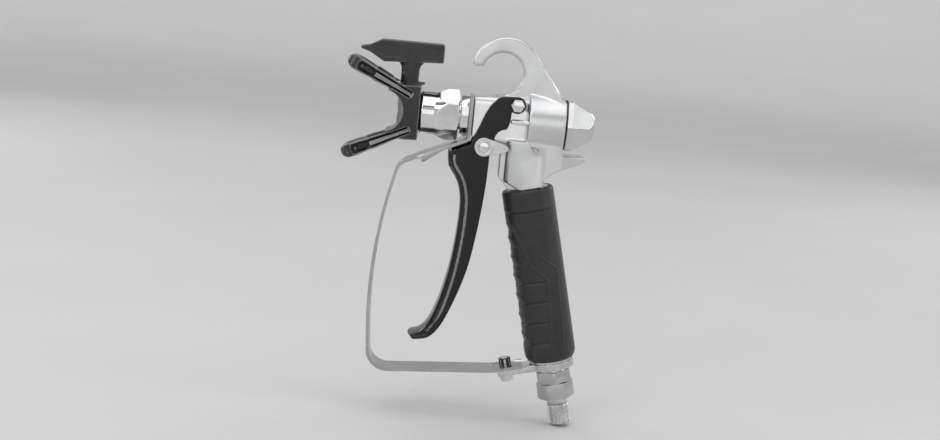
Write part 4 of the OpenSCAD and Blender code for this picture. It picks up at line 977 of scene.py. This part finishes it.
# name, place, size and power of each lamp
LAMPS = [("key", (-1.1, -1.5, 1.2), (0.5, 0.5), 5),
         ("edge_left", (-1.5, -0.85, 0.3), (0.4, 0.4), 2.2),
         ("front", (0.3, -1.9, 0.25), (1.9, 0.8), 3),
         ("top", (0.1, -0.2, 1.55), (2.4, 2.4), 22),
         ("right", (1.6, -0.3, 0.6), (0.5, 0.9), 3),
         ("left_strip", (-1.5, 0.05, 0.55), (0.16, 0.95), 2.2),
         ("edge_right", (1.2, 1.15, 0.45), (0.3, 0.6), 3),
         ("rim", (-1.0, 1.2, 0.65), (0.5, 0.9), 3.5)]


def bowl(low_z):
    """Round floor that curves up into a wall, so that it has no far edge."""
    profile = [(0.0, 0.0), (FLOOR_FLAT / 3, 0.0), (FLOOR_FLAT * 2 / 3, 0.0)]
    for k in range(BEND_STEPS + 1):
        a = math.radians(90 * k / BEND_STEPS)
        profile.append((FLOOR_FLAT + FLOOR_BEND * math.sin(a), FLOOR_BEND * (1 - math.cos(a))))
    profile.append((FLOOR_FLAT + FLOOR_BEND, FLOOR_BEND + WALL_H))
    bm = bmesh.new()
    n = FLOOR_COLUMNS
    rows = [[bm.verts.new((r * math.cos(math.tau * i / n), r * math.sin(math.tau * i / n), low_z + z))
             for r, z in profile] for i in range(n)]
    for i in range(n):
        a, b = rows[i], rows[(i + 1) % n]
        for j in range(len(profile) - 1):
            bm.faces.new((a[j], b[j], b[j + 1], a[j + 1]))
    bmesh.ops.remove_doubles(bm, verts=bm.verts, dist=FLOOR_WELD)
    mesh = bpy.data.meshes.new("floor")
    bm.to_mesh(mesh)
    bm.free()
    mesh.polygons.foreach_set("use_smooth", [True] * len(mesh.polygons))
    return mesh


def paper():
    """Pale floor with a little light of its own, which grows with distance."""
    n = Nodes("floor_paper")
    color = n.ramp(n.noise(3, detail=5), [(0.35, grey(0.62)), (0.65, grey(0.65))])
    n.link(color, n.bsdf.inputs["Base Color"])
    n.link(n.remap(n.noise(400), 0.6, 0.8), n.bsdf.inputs["Roughness"])
    n.bsdf.inputs["Specular IOR Level"].default_value = 0.2
    far = n.add("ShaderNodeVectorMath", operation="LENGTH")
    n.link(n.coords, far.inputs[0])
    lift = n.remap(far.outputs["Value"], 0, FAR_LIFT, LIFT_FROM, LIFT_TO)
    n.link(lift, n.bsdf.inputs["Emission Strength"])
    n.bsdf.inputs["Emission Color"].default_value = (1, 1, 1, 1)
    return n.mat


def lamp(name, at, size, power):
    """Rectangular lamp that faces the gun and isn't seen by the camera."""
    data = bpy.data.lights.new(name, "AREA")
    data.shape = "RECTANGLE"
    data.size, data.size_y = size
    data.energy = power
    ob = bpy.data.objects.new(name, data)
    bpy.context.scene.collection.objects.link(ob)
    ob.visible_camera = False
    ob.location = at
    ob.rotation_mode = "QUATERNION"
    ob.rotation_quaternion = (LAMP_TARGET - Vector(at)).to_track_quat("-Z", "Y")


def studio():
    """The floor, the world's light and the lamps."""
    scene = bpy.context.scene
    mesh = bowl(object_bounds()[0].z - FLOOR_GAP)
    mesh.materials.append(paper())
    floor = bpy.data.objects.new("floor", mesh)
    scene.collection.objects.link(floor)
    floor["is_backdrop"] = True

    world = bpy.data.worlds.new("studio")
    scene.world = world
    world.use_nodes = True
    background = world.node_tree.nodes["Background"]
    background.inputs["Color"].default_value = (*grey(WORLD_GREY), 1)
    background.inputs["Strength"].default_value = WORLD_STRENGTH

    for name, at, size, power in LAMPS:
        lamp(name, at, size, power)
    scene.view_settings.view_transform = "Standard"


studio()
